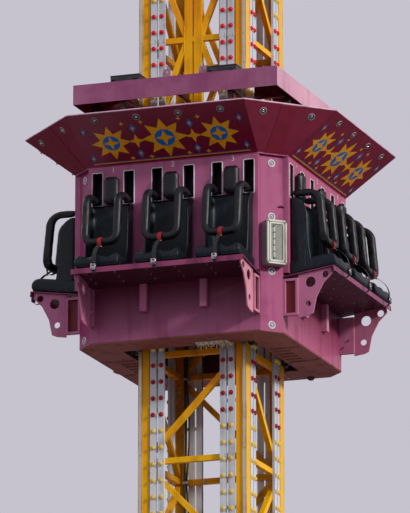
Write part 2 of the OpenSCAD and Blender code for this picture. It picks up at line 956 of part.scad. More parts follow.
module seats_left() {
    color("#23272e") carriage() on_side(left) seats();
}

module headrests() {
    rest_w = 190;
    rest_h = 322;
    rest_t = 95;
    round_r = 35;
    color("#23272e") carriage()
        for (side = sides)
            on_side(side)
                for (x = seat_row)
                    translate([x, -half_p - seam, back_top + seam])
                        rotate([90, 0, 0])
                        linear_extrude(rest_t) {
                            translate([-rest_w / 2, 0]) square([rest_w, rest_h - round_r]);
                            translate([-rest_w / 2 + round_r, 0])
                                square([rest_w - 2 * round_r, rest_h]);
                            for (s = [-1, 1])
                                translate([s * (rest_w / 2 - round_r), rest_h - round_r])
                                    circle(r = round_r);
                        }
}

module box_lamps() {
    lamp_w = corner_leg * sqrt(2) - 19;
    lamp_h = 488;
    lamp_d = 140;
    lamp_z = 712;
    facet_c = (half_b + half_s) / 2;
    color("#b8b5a8") carriage()
        for (side = [front, back])
            on_side(side)
                translate([facet_c, -facet_c, lamp_z])
                rotate([0, 0, 45])
                translate([-lamp_w / 2, -lamp_d - seam, 0])
                cube([lamp_w, lamp_d, lamp_h]);
}

// A lug on the left of the hood, with a clear hole that the lifting fall runs through
module hoist_lug() {
    lug_t = 60;
    lug_w = 120;
    hole_d = rope_d + 12;
    lug_in = 0.45 * (half_h - fall_x);
    color("slategray") carriage()
        translate([-fall_x, 0, hood_top - hood_t - seam - lug_t])
        difference() {
            translate([-lug_in, -lug_w / 2, 0]) cube([lug_in + hole_d / 2 + 14, lug_w, lug_t]);
            translate([0, 0, -1]) cylinder(h = lug_t + 2, d = hole_d);
        }
}

// A band of a circle's rim, thick wide, from its top down to the right by angle
module bend(radius, thick, angle) {
    intersection() {
        difference() {
            circle(r = radius + thick / 2);
            circle(r = radius - thick / 2);
        }
        polygon([[0, 0], [0, 2 * radius], [2 * radius, 2 * radius],
                 [2 * radius * cos(90 - angle), 2 * radius * sin(90 - angle)]]);
    }
}

// Outline of a bent bar in a seat's side plane: x out from the pivot, y up.
// It runs level, turns down round the shoulder and leans outwards to the lap
module arm_outline(thick, start, end_z) {
    turn = 90 - chest_lean;
    level = arm_reach - shoulder_r;
    drop = end_z - shoulder_r;
    translate([start, -thick / 2]) square([level - start, thick]);
    translate([level, -shoulder_r]) {
        bend(shoulder_r, thick, turn);
        rotate(chest_lean)
            translate([shoulder_r - thick / 2, -drop]) square([thick, drop]);
    }
}

module restraint(x) {
    level = arm_reach - shoulder_r;
    lap_x = level + shoulder_r * cos(chest_lean) + (chest_len - shoulder_r) * sin(chest_lean);
    lap_y = -shoulder_r + shoulder_r * sin(chest_lean) - (chest_len - shoulder_r) * cos(chest_lean);
    color("#1b1e22") translate([x, -pivot_u, pivot_z]) {
        rotate([90, 0, 90])
            mirror([1, 0, 0]) {
                for (s = [-1, 1])
                    translate([0, 0, s * slot_off]) {
                        translate([0, 0, -arm_d / 2]) linear_extrude(arm_d)
                            arm_outline(arm_d, 0, chest_len);
                        translate([0, 0, -pad_w / 2]) linear_extrude(pad_w)
                            arm_outline(pad_t, pivot_in + pad_start, chest_len);
                    }
                translate([lap_x, lap_y, -slot_off - pad_w / 2])
                    cylinder(h = 2 * slot_off + pad_w, d = pad_t);
            }
        rotate([0, 90, 0]) cylinder(h = 2 * slot_off + arm_d, d = shaft_d, center = true);
        for (s = [-1, 1])
            translate([s * slot_off, 0, 0])
                rotate([0, 90, 0]) cylinder(h = arm_d, d = arm_d + 24, center = true);
    }
}

base_beams();
levelling_feet();
column_shoes();
tower_columns();
guide_rails();
lattice_front();
lattice_right();
lattice_back();
lattice_left();
light_strips();
crown_frame();
crown_sheave();
winch();
hoist_rope();
buffers();
boarding_deck();
deck_steps();
front_wall();
right_wall();
back_wall();
left_wall();
corner_facets();
floor_plates();
top_plates();
guide_frame();
guide_rollers();
canopy_panels();
canopy_corners();
canopy_struts();
hood();
hood_posts();
hood_fittings();
seat_shelves();
shelf_gussets();
seats_front();
seats_right();
seats_back();
seats_left();
headrests();
box_lamps();
hoist_lug();
carriage() on_side(front) restraint(seat_row[0]);  // restraint_front_1
carriage() on_side(front) restraint(seat_row[1]);  // restraint_front_2
carriage() on_side(front) restraint(seat_row[2]);  // restraint_front_3
carriage() on_side(right) restraint(seat_row[0]);  // restraint_right_1
carriage() on_side(right) restraint(seat_row[1]);  // restraint_right_2
carriage() on_side(right) restraint(seat_row[2]);  // restraint_right_3
carriage() on_side(back) restraint(seat_row[0]);  // restraint_back_1
carriage() on_side(back) restraint(seat_row[1]);  // restraint_back_2
carriage() on_side(back) restraint(seat_row[2]);  // restraint_back_3
carriage() on_side(left) restraint(seat_row[0]);  // restraint_left_1
carriage() on_side(left) restraint(seat_row[1]);  // restraint_left_2
carriage() on_side(left) restraint(seat_row[2]);  // restraint_left_3
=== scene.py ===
import math

import bmesh
import bpy
from mathutils import Matrix, Vector


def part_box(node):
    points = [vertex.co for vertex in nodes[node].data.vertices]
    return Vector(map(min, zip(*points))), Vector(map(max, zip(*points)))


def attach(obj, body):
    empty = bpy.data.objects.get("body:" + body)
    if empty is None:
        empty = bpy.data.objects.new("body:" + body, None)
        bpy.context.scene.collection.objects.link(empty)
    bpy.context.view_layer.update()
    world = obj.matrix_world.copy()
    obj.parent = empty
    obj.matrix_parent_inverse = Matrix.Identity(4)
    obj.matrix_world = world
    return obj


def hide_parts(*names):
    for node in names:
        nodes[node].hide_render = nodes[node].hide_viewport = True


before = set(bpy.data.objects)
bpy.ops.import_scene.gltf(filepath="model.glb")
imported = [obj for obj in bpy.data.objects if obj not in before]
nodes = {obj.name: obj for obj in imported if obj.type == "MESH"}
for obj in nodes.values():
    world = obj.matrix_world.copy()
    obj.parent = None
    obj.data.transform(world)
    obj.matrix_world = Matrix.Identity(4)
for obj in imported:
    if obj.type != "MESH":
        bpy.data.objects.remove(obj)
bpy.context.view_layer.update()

# The view is from below and from the right of the front, through a very long lens, as a
# standing visitor sees the raised carriage. Sky light comes from all round, a low sun from the
# right, and a pale round floor carries the base.
car_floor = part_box("floor_plates")[0].z
view_turn, view_rise, view_gap = math.radians(19.87), math.radians(-14.32), 66.3
aim = Vector((-0.066, -0.024, car_floor + 1.175))
away = Vector((math.sin(view_turn) * math.cos(view_rise),
               -math.cos(view_turn) * math.cos(view_rise), math.sin(view_rise)))
camera = bpy.data.objects.new("camera", bpy.data.cameras.new("camera"))
bpy.context.collection.objects.link(camera)
camera.location = aim + away * view_gap
camera.rotation_mode = "QUATERNION"
camera.rotation_quaternion = (-away).to_track_quat("-Z", "Y")
camera.data.sensor_width = 36
camera.data.lens = 426.5
camera.data.clip_end = 500
bpy.context.scene.camera = camera
bpy.context.scene.view_settings.view_transform = "Standard"


def tint(red, green, blue):
    """A colour as a paint card gives it, 0 to 255, as linear light."""
    return tuple(((c / 255 + 0.055) / 1.055) ** 2.4 if c > 10 else c / 255 / 12.92
                 for c in (red, green, blue)) + (1.0,)


class Tone:
    """One socket of a finish, so that shader maths is written as Python."""

    def __init__(self, tree, socket):
        self.tree, self.socket = tree, socket

    def maths(self, operation, *terms):
        made = self.tree.nodes.new("ShaderNodeMath")
        made.operation = operation
        for place, term in enumerate(terms):
            if isinstance(term, Tone):
                self.tree.links.new(term.socket, made.inputs[place])
            else:
                made.inputs[place].default_value = term
        return Tone(self.tree, made.outputs[0])

    def __add__(self, other):
        return self.maths("ADD", self, other)

    def __sub__(self, other):
        return self.maths("SUBTRACT", self, other)

    def __rsub__(self, other):
        return self.maths("SUBTRACT", other, self)

    def __mul__(self, other):
        return self.maths("MULTIPLY", self, other)

    def __truediv__(self, other):
        return self.maths("DIVIDE", self, other)

    def __mod__(self, other):
        return self.maths("FLOORED_MODULO", self, other)

    def __gt__(self, other):
        return self.maths("GREATER_THAN", self, other)

    def __lt__(self, other):
        return self.maths("LESS_THAN", self, other)

    def __abs__(self):
        return self.maths("ABSOLUTE", self)

    __radd__, __rmul__ = __add__, __mul__


class Finish:
    """A node-based material that one or more pieces wear."""

    def __init__(self, name, tree=None):
        if tree is None:
            self.material = bpy.data.materials.new(name)
            self.material.use_nodes = True
            tree = self.material.node_tree
            self.surface = tree.nodes["Principled BSDF"]
        self.tree = tree

    def node(self, kind, settings=None, sockets=None, out=0):
        """Adds a node: its settings or ramp stops, then the values or links of its sockets."""
        made = self.tree.nodes.new(kind)
        for key, value in (settings or {}).items():
            if key == "stops":
                stops = made.color_ramp.elements
                while len(stops) < len(value):
                    stops.new(1.0)
                for stop, (place, colour) in zip(stops, value):
                    stop.position, stop.color = place, colour
            else:
                setattr(made, key, value)
        for key, value in (sockets or {}).items():
            if isinstance(value, Tone):
                self.tree.links.new(value.socket, made.inputs[key])
            else:
                made.inputs[key].default_value = value
        return Tone(self.tree, made.outputs[out])

    def place(self, stretch=(1, 1, 1)):
        here = self.node("ShaderNodeTexCoord", out="Object")
        return self.node("ShaderNodeMapping", None, {"Vector": here, "Scale": stretch})

    def axis(self, letter):
        here = self.node("ShaderNodeTexCoord", out="Object")
        return self.node("ShaderNodeSeparateXYZ", None, {0: here}, out=letter)

    def facing(self, letter="Z"):
        """How far the surface faces along an axis, such as 1 on top and -1 below."""
        way = self.node("ShaderNodeNewGeometry", out="Normal")
        return self.node("ShaderNodeSeparateXYZ", None, {0: way}, out=letter)

    def noise(self, scale, detail=3.0, stretch=(1, 1, 1), rough=0.5):
        return self.node("ShaderNodeTexNoise", None,
                         {"Vector": self.place(stretch), "Scale": scale, "Detail": detail,
                          "Roughness": rough})

    def fade(self, value, low, high):
        return self.node("ShaderNodeMapRange", {"interpolation_type": "SMOOTHSTEP"},
                         {"Value": value, "From Min": low, "From Max": high})

    def mix(self, mask, first, second):
        return self.node("ShaderNodeMix", {"data_type": "RGBA"}, {0: mask, 6: first, 7: second},
                         out=2)

    def bump(self, height, deep, strength=1.0):
        return self.node("ShaderNodeBump", None, {"Height": height, "Distance": deep,
                                                  "Strength": strength})

    def set(self, **sockets):
        for key, value in sockets.items():
            socket = self.surface.inputs[key.replace("_", " ")]
            if isinstance(value, Tone):
                self.tree.links.new(value.socket, socket)
            else:
                socket.default_value = value
        return self.material


sky = bpy.data.worlds.new("sky")
sky.use_nodes = True
bpy.context.scene.world = sky
sky_tree = Finish("sky", sky.node_tree)


def watched(finish, share=1.0):
    """1 for what the camera sees, and for so much of what gloss and glass show."""
    camera_ray, glossy_ray, through_ray = [finish.node("ShaderNodeLightPath", out=name)
                                           for name in ("Is Camera Ray", "Is Glossy Ray",
                                                        "Is Transmission Ray")]
    return finish.node("ShaderNodeMath", {"operation": "ADD", "use_clamp": True},
                       {0: camera_ray, 1: (glossy_ray + through_ray) * share})


height = sky_tree.node("ShaderNodeSeparateXYZ", None,
                       {0: sky_tree.node("ShaderNodeTexCoord", out="Generated")}, out="Z")
seen = watched(sky_tree, sky_tree.fade(height, -0.14, 0.0))
dome = sky_tree.node("ShaderNodeValToRGB", {"stops": [(0.0, tint(92, 80, 82)),
                                                      (0.44, tint(114, 102, 104)),
                                                      (0.54, tint(214, 216, 226)),
                                                      (1.0, tint(240, 242, 250))]},
                     {0: height * 0.5 + 0.5})
lit = sky_tree.node("ShaderNodeBackground", None, {"Color": dome, "Strength": 0.86})
shown = sky_tree.node("ShaderNodeBackground", None, {"Color": tint(198, 195, 206), "Strength": 1.0})
both = sky_tree.node("ShaderNodeMixShader", None, {0: seen, 1: lit, 2: shown})
sky_tree.tree.links.new(both.socket, sky_tree.tree.nodes["World Output"].inputs["Surface"])


def add_sun(name, azimuth, elevation, strength, colour, spread):
    """A sun standing at an azimuth from the front, seen from above, and an elevation."""
    sun = bpy.data.objects.new(name, bpy.data.lights.new(name, "SUN"))
    bpy.context.collection.objects.link(sun)
    turn, rise = math.radians(azimuth), math.radians(elevation)
    towards = Vector((math.sin(turn) * math.cos(rise), -math.cos(turn) * math.cos(rise),
                      math.sin(rise)))
    sun.rotation_mode = "QUATERNION"
    sun.rotation_quaternion = towards.to_track_quat("Z", "Y")
    sun.data.energy, sun.data.color, sun.data.angle = strength, colour, math.radians(spread)


add_sun("sun", 72, 21, 2.3, (1.0, 0.965, 0.92), 6)
add_sun("far_sky", 235, 35, 0.6, (0.93, 0.96, 1.0), 40)

floor_mesh = bpy.data.meshes.new("floor")
floor_build = bmesh.new()
bmesh.ops.create_circle(floor_build, cap_ends=True, segments=96, radius=12.5)
floor_build.to_mesh(floor_mesh)
floor_build.free()
floor = bpy.data.objects.new("floor", floor_mesh)
floor.location.z = -0.001
bpy.context.collection.objects.link(floor)
slab = Finish("floor")
from_middle = slab.node("ShaderNodeVectorMath", {"operation": "LENGTH"}, {0: slab.place()}, out=1)
slab_colour = slab.mix(slab.noise(1.5, 5), tint(222, 220, 226), tint(206, 203, 211))
slab_colour = slab.mix(watched(slab), tint(146, 138, 138), slab_colour)
slab.set(Base_Color=slab_colour, Roughness=0.85, Alpha=1.0 - slab.fade(from_middle, 6.0, 12.3))
floor_mesh.materials.append(slab.material)

# The tower is welded from square tubes in yellow enamel. The weather has bleached it in
# patches, grease and dirt run down it, and a few chips show primer and rust. Its faces
# towards +x carry painted sunlight, and its faces towards the middle painted shade.


def enamel(name, colour, bleached_and_sunlit, grime_and_shade, streaks=0.5, chips=0.66, primer=(96, 58, 44),
           gloss=0.34, broad=0.55, wave=0.0, painted_sun_from=None, shaded_lining=None, painted_shade_below=None, shine=0.3,
           grease=0.0, slots=None):
    """Gloss paint on steel, with bleaching, runs of dirt and chips, in colours from 0 to 255.
    Beyond a given x, the faces to the sun take the bleached colour all over as painted sunlight.
    A lining is another colour, painted shade, on the faces less than so far from the middle
    that do not face up. Painted shade in the grime colour covers so much of the undersides, and
    of the sheets below a height, where it thins out downwards. Where grease is given, the faces
    towards +x take painted sunlight in the bleached colour, and the faces towards the middle
    painted shade in the grime colour, by the grease share. The sides of slots get painted shade,
    nearly black, between two heights, less than a depth from the middle and less than a reach
    beside it."""
    coat = Finish(name)
    colour, bleached_and_sunlit, grime_and_shade = tint(*colour), tint(*bleached_and_sunlit), tint(*grime_and_shade)
    bleach_and_sunlight_mask = coat.fade(coat.noise(broad, 4), 0.38, 0.68)
    # Painted sunlight: beyond the given x, the faces to the sun take the bleached colour.
    if painted_sun_from:
        painted_sunlight = coat.fade(coat.axis("X"), painted_sun_from, painted_sun_from + 0.025)
        painted_sunlight = painted_sunlight * coat.fade(coat.facing("X"), 0.2, 0.6)
        bleach_and_sunlight_mask = bleach_and_sunlight_mask * 0.3 + painted_sunlight * 0.7
    cloud = coat.noise(4.5, 6)
    fine = coat.noise(75, 5, rough=0.62)
    runs = coat.noise(9, 5, stretch=(1, 1, 0.055))
    dirt = coat.fade(runs * 0.6 + cloud * 0.4, 0.47, 0.66) * streaks
    bare = coat.fade(fine * 0.7 + coat.noise(13, 3) * 0.3, chips - 0.015, chips + 0.015)
    shade = coat.mix(bleach_and_sunlight_mask, colour, bleached_and_sunlit)
    # Painted shade: the inner faces that do not face up take the darker lining colour.
    if shaded_lining:
        across = abs(coat.axis("X"))
        inside = across.maths("MAXIMUM", across, abs(coat.axis("Y"))) < shaded_lining[0]
        shade = coat.mix(inside * (coat.facing() < 0.5), shade, tint(*shaded_lining[1]))
    shade = coat.mix(coat.fade(cloud, 0.35, 0.7) * 0.14, shade, bleached_and_sunlit)
    shade = coat.mix(dirt, shade, grime_and_shade)
    # Painted sunlight in the bleached colour on the faces towards +x, and painted shade in the
    # grime colour on the faces towards the middle.
    if grease:
        outwards = coat.facing("X") * coat.axis("X") + coat.facing("Y") * coat.axis("Y")
        shade = coat.mix(coat.fade(coat.facing("X"), 0.3, 0.8) * 0.8, shade, bleached_and_sunlit)
        inner = coat.fade(outwards * -1.0, 0.1, 0.3) * (coat.fade(cloud, 0.3, 0.65) * 0.5 + 0.5)
        shade = coat.mix(inner * grease, shade, grime_and_shade)
    # Painted shade in the grime colour on the undersides, and below a height, where it thins out
    # downwards.
    if painted_shade_below:
        share, top, fade_out = painted_shade_below
        up = coat.axis("Z")
        below = (up < top) * coat.fade(up, top - fade_out, top)
        shade = coat.mix(below.maths("MAXIMUM", below, coat.facing() < -0.7) * share, shade, grime_and_shade)
    # Painted shade, nearly black, on the sides of the slots.
    if slots:
        low, high, depth, reach = slots
        across, along_wall = abs(coat.axis("X")), abs(coat.axis("Y"))
        between = (coat.axis("Z") > low) * (coat.axis("Z") < high)
        behind = ((across.maths("MAXIMUM", across, along_wall) < depth)
                  * (across.maths("MINIMUM", across, along_wall) < reach))
        shade = coat.mix(between * behind * 0.85, shade, tint(18, 17, 30))
    shade = coat.mix(bare, shade, tint(*primer))
    swell = coat.noise(3.2, 2) * wave
    height = fine * 0.12 - bare * 0.6 + swell
    return coat.set(Base_Color=shade, Specular_IOR_Level=shine,
                    Roughness=gloss + dirt * 0.35 + bare * 0.3 + bleach_and_sunlight_mask * 0.1,
                    Normal=coat.bump(height, 0.0016 + wave * 0.004, 0.8))


# Painted sunlight on the faces towards +x, and painted shade on the faces towards the middle.
yellow_enamel = enamel("yellow_enamel", (246, 148, 0), (248, 188, 2), (122, 66, 12), streaks=0.4,
                       shine=0.16, grease=0.62)


def dress(material, *names):
    """A CAD node keeps its shape and gets a finish in every one of its slots."""
    for name in names:
        mesh = nodes[name].data
        if not mesh.materials:
            mesh.materials.append(material)
        for place in range(len(mesh.materials)):
            mesh.materials[place] = material


dress(yellow_enamel, "base_beams", "column_shoes", "tower_columns", "lattice_front",
      "lattice_right", "lattice_back", "lattice_left", "crown_frame")
sides = ["front", "right", "back", "left"]
tower_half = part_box("guide_rails")[1].y
column_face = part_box("tower_columns")[1].x
column_side = 0.120
column_middle = column_face - column_side / 2
rail_thick = tower_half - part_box("tower_columns")[1].y
column_depth_middle = tower_half - rail_thick - column_side / 2
beam_top = 0.420
node_low, panel, panels = 0.630, 1.172, 12
tower_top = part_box("tower_columns")[1].z


def shift(x, y, z):
    return Matrix.Translation((x, y, z))


def spin(degrees, axis):
    return Matrix.Rotation(math.radians(degrees), 4, axis)


def circle(radius, count):
    return [(radius * math.cos(a), radius * math.sin(a))
            for a in (2 * math.pi * n / count for n in range(count))]


def spot(place, point, facing, along_way=(0, 0, 1)):
    """Where a small part sits, the way it faces, and a direction along it."""
    turn = place.to_3x3()
    return place @ Vector(point), turn @ Vector(facing), turn @ Vector(along_way)


class Stock:
    """The raw faces of one piece while it is put together from cut and bent stock."""

    def __init__(self):
        self.points, self.faces, self.shades = [], [], []

    def add(self, points, faces, place=None, shade=0):
        start = len(self.points)
        self.points += [tuple((place @ Vector(p)) if place else p) for p in points]
        self.faces += [tuple(start + i for i in face) for face in faces]
        self.shades += [shade] * len(faces)

    def between(self, corner, opposite, place=None, ease=0.0):
        """A block between two corners that come in any order."""
        self.block(*[tuple(map(pick, corner, opposite)) for pick in (min, max)], place, ease)

    def block(self, low, high, place=None, ease=0.0, shade=0):
        """A box with its edges eased by a small chamfer, so that they catch the light."""
        build = bmesh.new()
        bmesh.ops.create_cube(build, size=1.0)
        for v in build.verts:
            v.co = Vector([(low[i] + high[i]) / 2 + v.co[i] * (high[i] - low[i]) for i in range(3)])
        if ease:
            bmesh.ops.bevel(build, geom=build.edges[:], offset=ease, segments=1, affect="EDGES")
        self.take(build, place, shade)

    def take(self, build, place=None, shade=0):
        build.verts.index_update()
        self.add([v.co for v in build.verts], [[v.index for v in f.verts] for f in build.faces],
                 place, shade)
        build.free()

    def plate(self, outline, thick, place=None, shade=0):
        """A flat plate cut to an outline in x and y, from z = 0 up."""
        count = len(outline)
        self.add([(x, y, 0) for x, y in outline] + [(x, y, thick) for x, y in outline],
                 [tuple(reversed(range(count))), tuple(range(count, 2 * count))]
                 + [(i, (i + 1) % count, count + (i + 1) % count, count + i) for i in range(count)],
                 place, shade)

    def loft(self, rings, place=None, closed=False, shade=0):
        """A skin through closed rings of points, with its ends capped unless it closes."""
        count, size = len(rings), len(rings[0])
        points = [p for ring in rings for p in ring]
        faces = []
        for i in range(count if closed else count - 1):
            a, b = i * size, (i + 1) % count * size
            faces += [(a + j, a + (j + 1) % size, b + (j + 1) % size, b + j) for j in range(size)]
        if not closed:
            faces += [tuple(reversed(range(size))), tuple(range((count - 1) * size, count * size))]
        self.add(points, faces, place, shade)

    def pipe(self, path, radius, count=10, place=None, closed=False, shade=0):
        """A round bar or tube along a path of points."""
        path = [Vector(p) for p in path]
        total, rings, side = len(path), [], None
        for i, point in enumerate(path):
            before = path[i - 1] if i or closed else point
            after = path[(i + 1) % total] if i < total - 1 or closed else point
            ahead = (after - before).normalized()
            side = side or ahead.orthogonal()
            side = (side - ahead * side.dot(ahead)).normalized()
            cross = ahead.cross(side)
            rings.append([point + (side * math.cos(a) + cross * math.sin(a)) * radius
                          for a in (2 * math.pi * n / count for n in range(count))])
        self.loft(rings, place, closed, shade)

    def turned(self, profile, count=24, place=None, shade=0):
        """A lathe-turned form about z, from (radius, z) pairs that start and end on the axis."""
        rings = [[(x, y, z) for x, y in circle(radius, count)] for radius, z in profile]
        self.loft(rings, place, shade=shade)


def finish_piece(name, stock, finishes, body, stands_for=(), sharp=32, ease=0.0, rounds=0):
    """Turns stock into a piece in its finishes that rides on a body."""
    mesh = bpy.data.meshes.new(name)
    mesh.from_pydata([tuple(p) for p in stock.points], [], stock.faces)
    for finish in finishes:
        mesh.materials.append(finish)
    mesh.polygons.foreach_set("material_index", stock.shades)
    build = bmesh.new()
    build.from_mesh(mesh)
    bmesh.ops.recalc_face_normals(build, faces=build.faces)
    build.to_mesh(mesh)
    build.free()
    made = bpy.data.objects.new(name, mesh)
    bpy.context.collection.objects.link(made)
    if rounds:
        made.modifiers.new("rounding", "SUBSURF").levels = rounds
        made.modifiers["rounding"].render_levels = rounds
        settle(made)
    if ease:
        bevel = made.modifiers.new("ease", "BEVEL")
        bevel.width, bevel.segments, bevel.limit_method = ease, 2, "ANGLE"
        settle(made)
    made.data.shade_smooth()
    made.data.set_sharp_from_angle(angle=math.radians(sharp))
    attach(made, body)
    if stands_for:
        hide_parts(*stands_for)
    return made


def settle(made):
    """Writes what a piece's modifiers give into its own mesh."""
    bpy.context.view_layer.update()
    shape = made.evaluated_get(bpy.context.evaluated_depsgraph_get())
    mesh = bpy.data.meshes.new_from_object(shape)
    made.modifiers.clear()
    made.data = mesh
    mesh.name = made.name


def copies_tree(name, sizes, part):
    """A Geometry Nodes tree that sets one small part out on spots and gives it its finish."""
    tree = bpy.data.node_groups.new(name, "GeometryNodeTree")
    tree.interface.new_socket("Spots", in_out="INPUT", socket_type="NodeSocketGeometry")
    for label, value in sizes.items():
        tree.interface.new_socket(label, in_out="INPUT",
                                  socket_type="NodeSocketFloat").default_value = value
    tree.interface.new_socket("Finish", in_out="INPUT", socket_type="NodeSocketMaterial")
    tree.interface.new_socket("Pieces", in_out="OUTPUT", socket_type="NodeSocketGeometry")
    given = tree.nodes.new("NodeGroupInput")

    def node(kind, settings=None, sockets=None, out=0):
        made = tree.nodes.new(kind)
        for key, value in (settings or {}).items():
            setattr(made, key, value)
        for key, value in (sockets or {}).items():
            if isinstance(value, bpy.types.NodeSocket):
                tree.links.new(value, made.inputs[key])
            else:
                made.inputs[key].default_value = value
        return made.outputs[out]

    facing, along = [node("GeometryNodeInputNamedAttribute", {"data_type": "FLOAT_VECTOR"},
                          {"Name": label}) for label in ("facing", "along")]
    turn = node("FunctionNodeAxesToRotation", {"primary_axis": "Z", "secondary_axis": "X"},
                {0: facing, 1: along})
    copies = node("GeometryNodeInstanceOnPoints", None,
                  {"Points": given.outputs["Spots"], "Instance": part(node, given.outputs),
                   "Rotation": turn})
    real = node("GeometryNodeRealizeInstances", None, {0: copies})
    coated = node("GeometryNodeSetMaterial", None,
                  {"Geometry": real, "Material": given.outputs["Finish"]})
    tree.links.new(coated, tree.nodes.new("NodeGroupOutput").inputs[0])
    return tree


def set_out(name, tree, spots, finish, body, slot, sharp=40, **sizes):
    """Sets a part out on (place, facing, along) spots as one plain mesh that rides on a body."""
    carrier = bpy.data.meshes.new(name)
    carrier.from_pydata([tuple(s[0]) for s in spots], [], [])
    for place, label in ((1, "facing"), (2, "along")):
        field = carrier.attributes.new(label, "FLOAT_VECTOR", "POINT")
        for value, where in zip(field.data, spots):
            value.vector = where[place]
    made = bpy.data.objects.new(name, carrier)
    bpy.context.collection.objects.link(made)
    grow = made.modifiers.new("copies", "NODES")
    grow.node_group = tree
    for item in tree.interface.items_tree:
        if item.in_out == "INPUT" and item.name in sizes:
            grow[item.identifier] = sizes[item.name]
        if item.in_out == "INPUT" and item.name == "Finish":
            grow[item.identifier] = finish
    settle(made)
    for label in ("facing", "along"):
        made.data.attributes.remove(made.data.attributes[label])
    made.data.shade_smooth()
    made.data.set_sharp_from_angle(angle=math.radians(sharp))
    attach(made, body)
    return made


def join_parts(node, *parts):
    made = node("GeometryNodeJoinGeometry")
    for part in parts:
        made.node.id_data.links.new(part, made.node.inputs[0])
    return made


def bolt_part(node, given):
    """A hexagon head on a round washer."""
    washer_radius, head_radius, head_middle = [node("ShaderNodeMath", {"operation": "MULTIPLY"},
                                                    {0: given["Size"], 1: share})
                                               for share in (1.05, 0.72, 0.5)]
    washer = node("GeometryNodeMeshCylinder", None,
                  {"Vertices": 12, "Radius": washer_radius, "Depth": 0.004})
    head = node("GeometryNodeMeshCylinder", None,
                {"Vertices": 6, "Radius": head_radius, "Depth": given["Size"]})
    middle = node("ShaderNodeCombineXYZ", None, {"Z": head_middle})
    lift = node("GeometryNodeTransform", None, {"Geometry": head, "Translation": middle})
    return join_parts(node, washer, lift)


bolts = copies_tree("hexagon_bolts", {"Size": 0.018}, bolt_part)


def zinc_plate(name, colour, dark, rough=0.38):
    """Zinc-plated or polished steel, clouded and a little rusty in places."""
    metal = Finish(name)
    cloud = metal.noise(22, 5)
    rust = metal.fade(metal.noise(5, 4), 0.6, 0.72)
    shade = metal.mix(metal.fade(cloud, 0.3, 0.7), tint(*colour), tint(*dark))
    shade = metal.mix(rust * 0.5, shade, tint(120, 74, 44))
    return metal.set(Base_Color=shade, Metallic=0.9,
                     Roughness=cloud * 0.3 + rough * 0.6 + rust * 0.3,
                     Normal=metal.bump(cloud, 0.0006))


bright_zinc = zinc_plate("bright_zinc", (186, 188, 190), (138, 140, 144))


def clouded(name, cloud, fade, first, second, rough, deep, grain=None, **more):
    """A plain material clouded between two colours, with roughness = cloud x rough[0] + rough[1]
    and a grain of its own or the cloud's as relief."""
    plain = Finish(name)
    clouds = plain.noise(*cloud)
    mask = plain.fade(clouds, *fade) if fade else clouds
    relief = plain.noise(*grain) if grain else clouds
    return plain.set(Base_Color=plain.mix(mask, tint(*first), tint(*second)),
                     Roughness=clouds * rough[0] + rough[1], Normal=plain.bump(relief, deep),
                     **more)


def fasten(name, kind, spots, body, size):
    """Sets out bolts, nuts or screws in bright zinc."""
    set_out(name, kind, spots, bright_zinc, body, "galvanised", Size=size)


# Each column is bolted together from six sections. Splice plates on the two inner faces of
# every column carry the joints, with eight bolts in each plate.
brace_reach_x = column_middle - column_side / 2
brace_reach_y = column_depth_middle - column_side / 2
splices, splice_bolts = Stock(), []
for level in range(2, panels, 2):
    joint_z = node_low + level * panel - 0.33
    for sx in (-1, 1):
        for sy in (-1, 1):
            x, y = sx * column_middle, sy * column_depth_middle
            face_x, face_y = sx * brace_reach_x, sy * brace_reach_y
            splices.between((face_x, y - 0.040, joint_z),
                            (face_x - sx * 0.010, y + 0.040, joint_z + 0.24), ease=0.002)
            splices.between((x - 0.040, face_y, joint_z),
                            (x + 0.040, face_y - sy * 0.010, joint_z + 0.24), ease=0.002)
            for rise in (0.035, 0.085, 0.155, 0.205):
                for side in (-0.020, 0.020):
                    splice_bolts.append(((face_x - sx * 0.012, y + side, joint_z + rise),
                                         (-sx, 0, 0), (0, 0, 1)))
                    splice_bolts.append(((x + side, face_y - sy * 0.012, joint_z + rise),
                                         (0, -sy, 0), (0, 0, 1)))
finish_piece("splice_plates", splices, [yellow_enamel], "tower")
fasten("splice_bolts", bolts, splice_bolts, "tower", 0.011)

# Every tube of the lattice is welded all round where it meets a column or another tube, and
# the bead shows as a thin rope of metal under the paint.
brace_half = 0.030
lattice_out = tower_half - 0.028 - brace_half
brace_step, post_half = 0.075, 0.101


def weld_loop(stock, x, z, wide, high, place):
    """A bead round the end of a tube whose end face lies across x."""
    corners = [(-wide, -high), (wide, -high), (wide, high), (-wide, high)]
    path = []
    for i, (a, b) in enumerate(corners):
        c, d = corners[(i + 1) % 4]
        for part in (0.18 / 3, 1.18 / 3, 2.18 / 3):
            path.append((x, a + (c - a) * part, z + b + (d - b) * part))
    stock.pipe(path, 0.0055, 5, place, closed=True)


side_turn = [spin(90 * k, "Z") for k in range(4)]
beads = Stock()
for k in range(4):
    face = side_turn[k] @ shift(0, -lattice_out, 0)
    reach = brace_reach_x if k % 2 == 0 else brace_reach_y
    lean_first, lowest = (-1 if k == 1 else 1), (1 if k == 3 else 0)
    post_from = 8 if k % 2 == 0 else panels
    for level in range(lowest, panels + 1):
        for s in (-1, 1):
            weld_loop(beads, s * reach, node_low + level * panel, brace_half, brace_half, face)
    for level in range(lowest, panels):
        lean = lean_first if level % 2 == 0 else -lean_first
        low_z = node_low + level * panel + brace_step
        high_z = node_low + (level + 1) * panel - brace_step
        if level < post_from:
            span, ends = 2 * reach, [(lean * reach, low_z), (-lean * reach, high_z)]
        else:
            outer_z, inner_z = (low_z, high_z) if level % 2 == 0 else (high_z, low_z)
            span = reach - post_half
            ends = [end for s in (-1, 1) for end in ((s * reach, outer_z),
                                                     (s * post_half, inner_z))]
        tall = brace_half / math.cos(math.atan2(high_z - low_z, span))
        for x, z in ends:
            weld_loop(beads, x, z, brace_half - 0.002, tall, face)
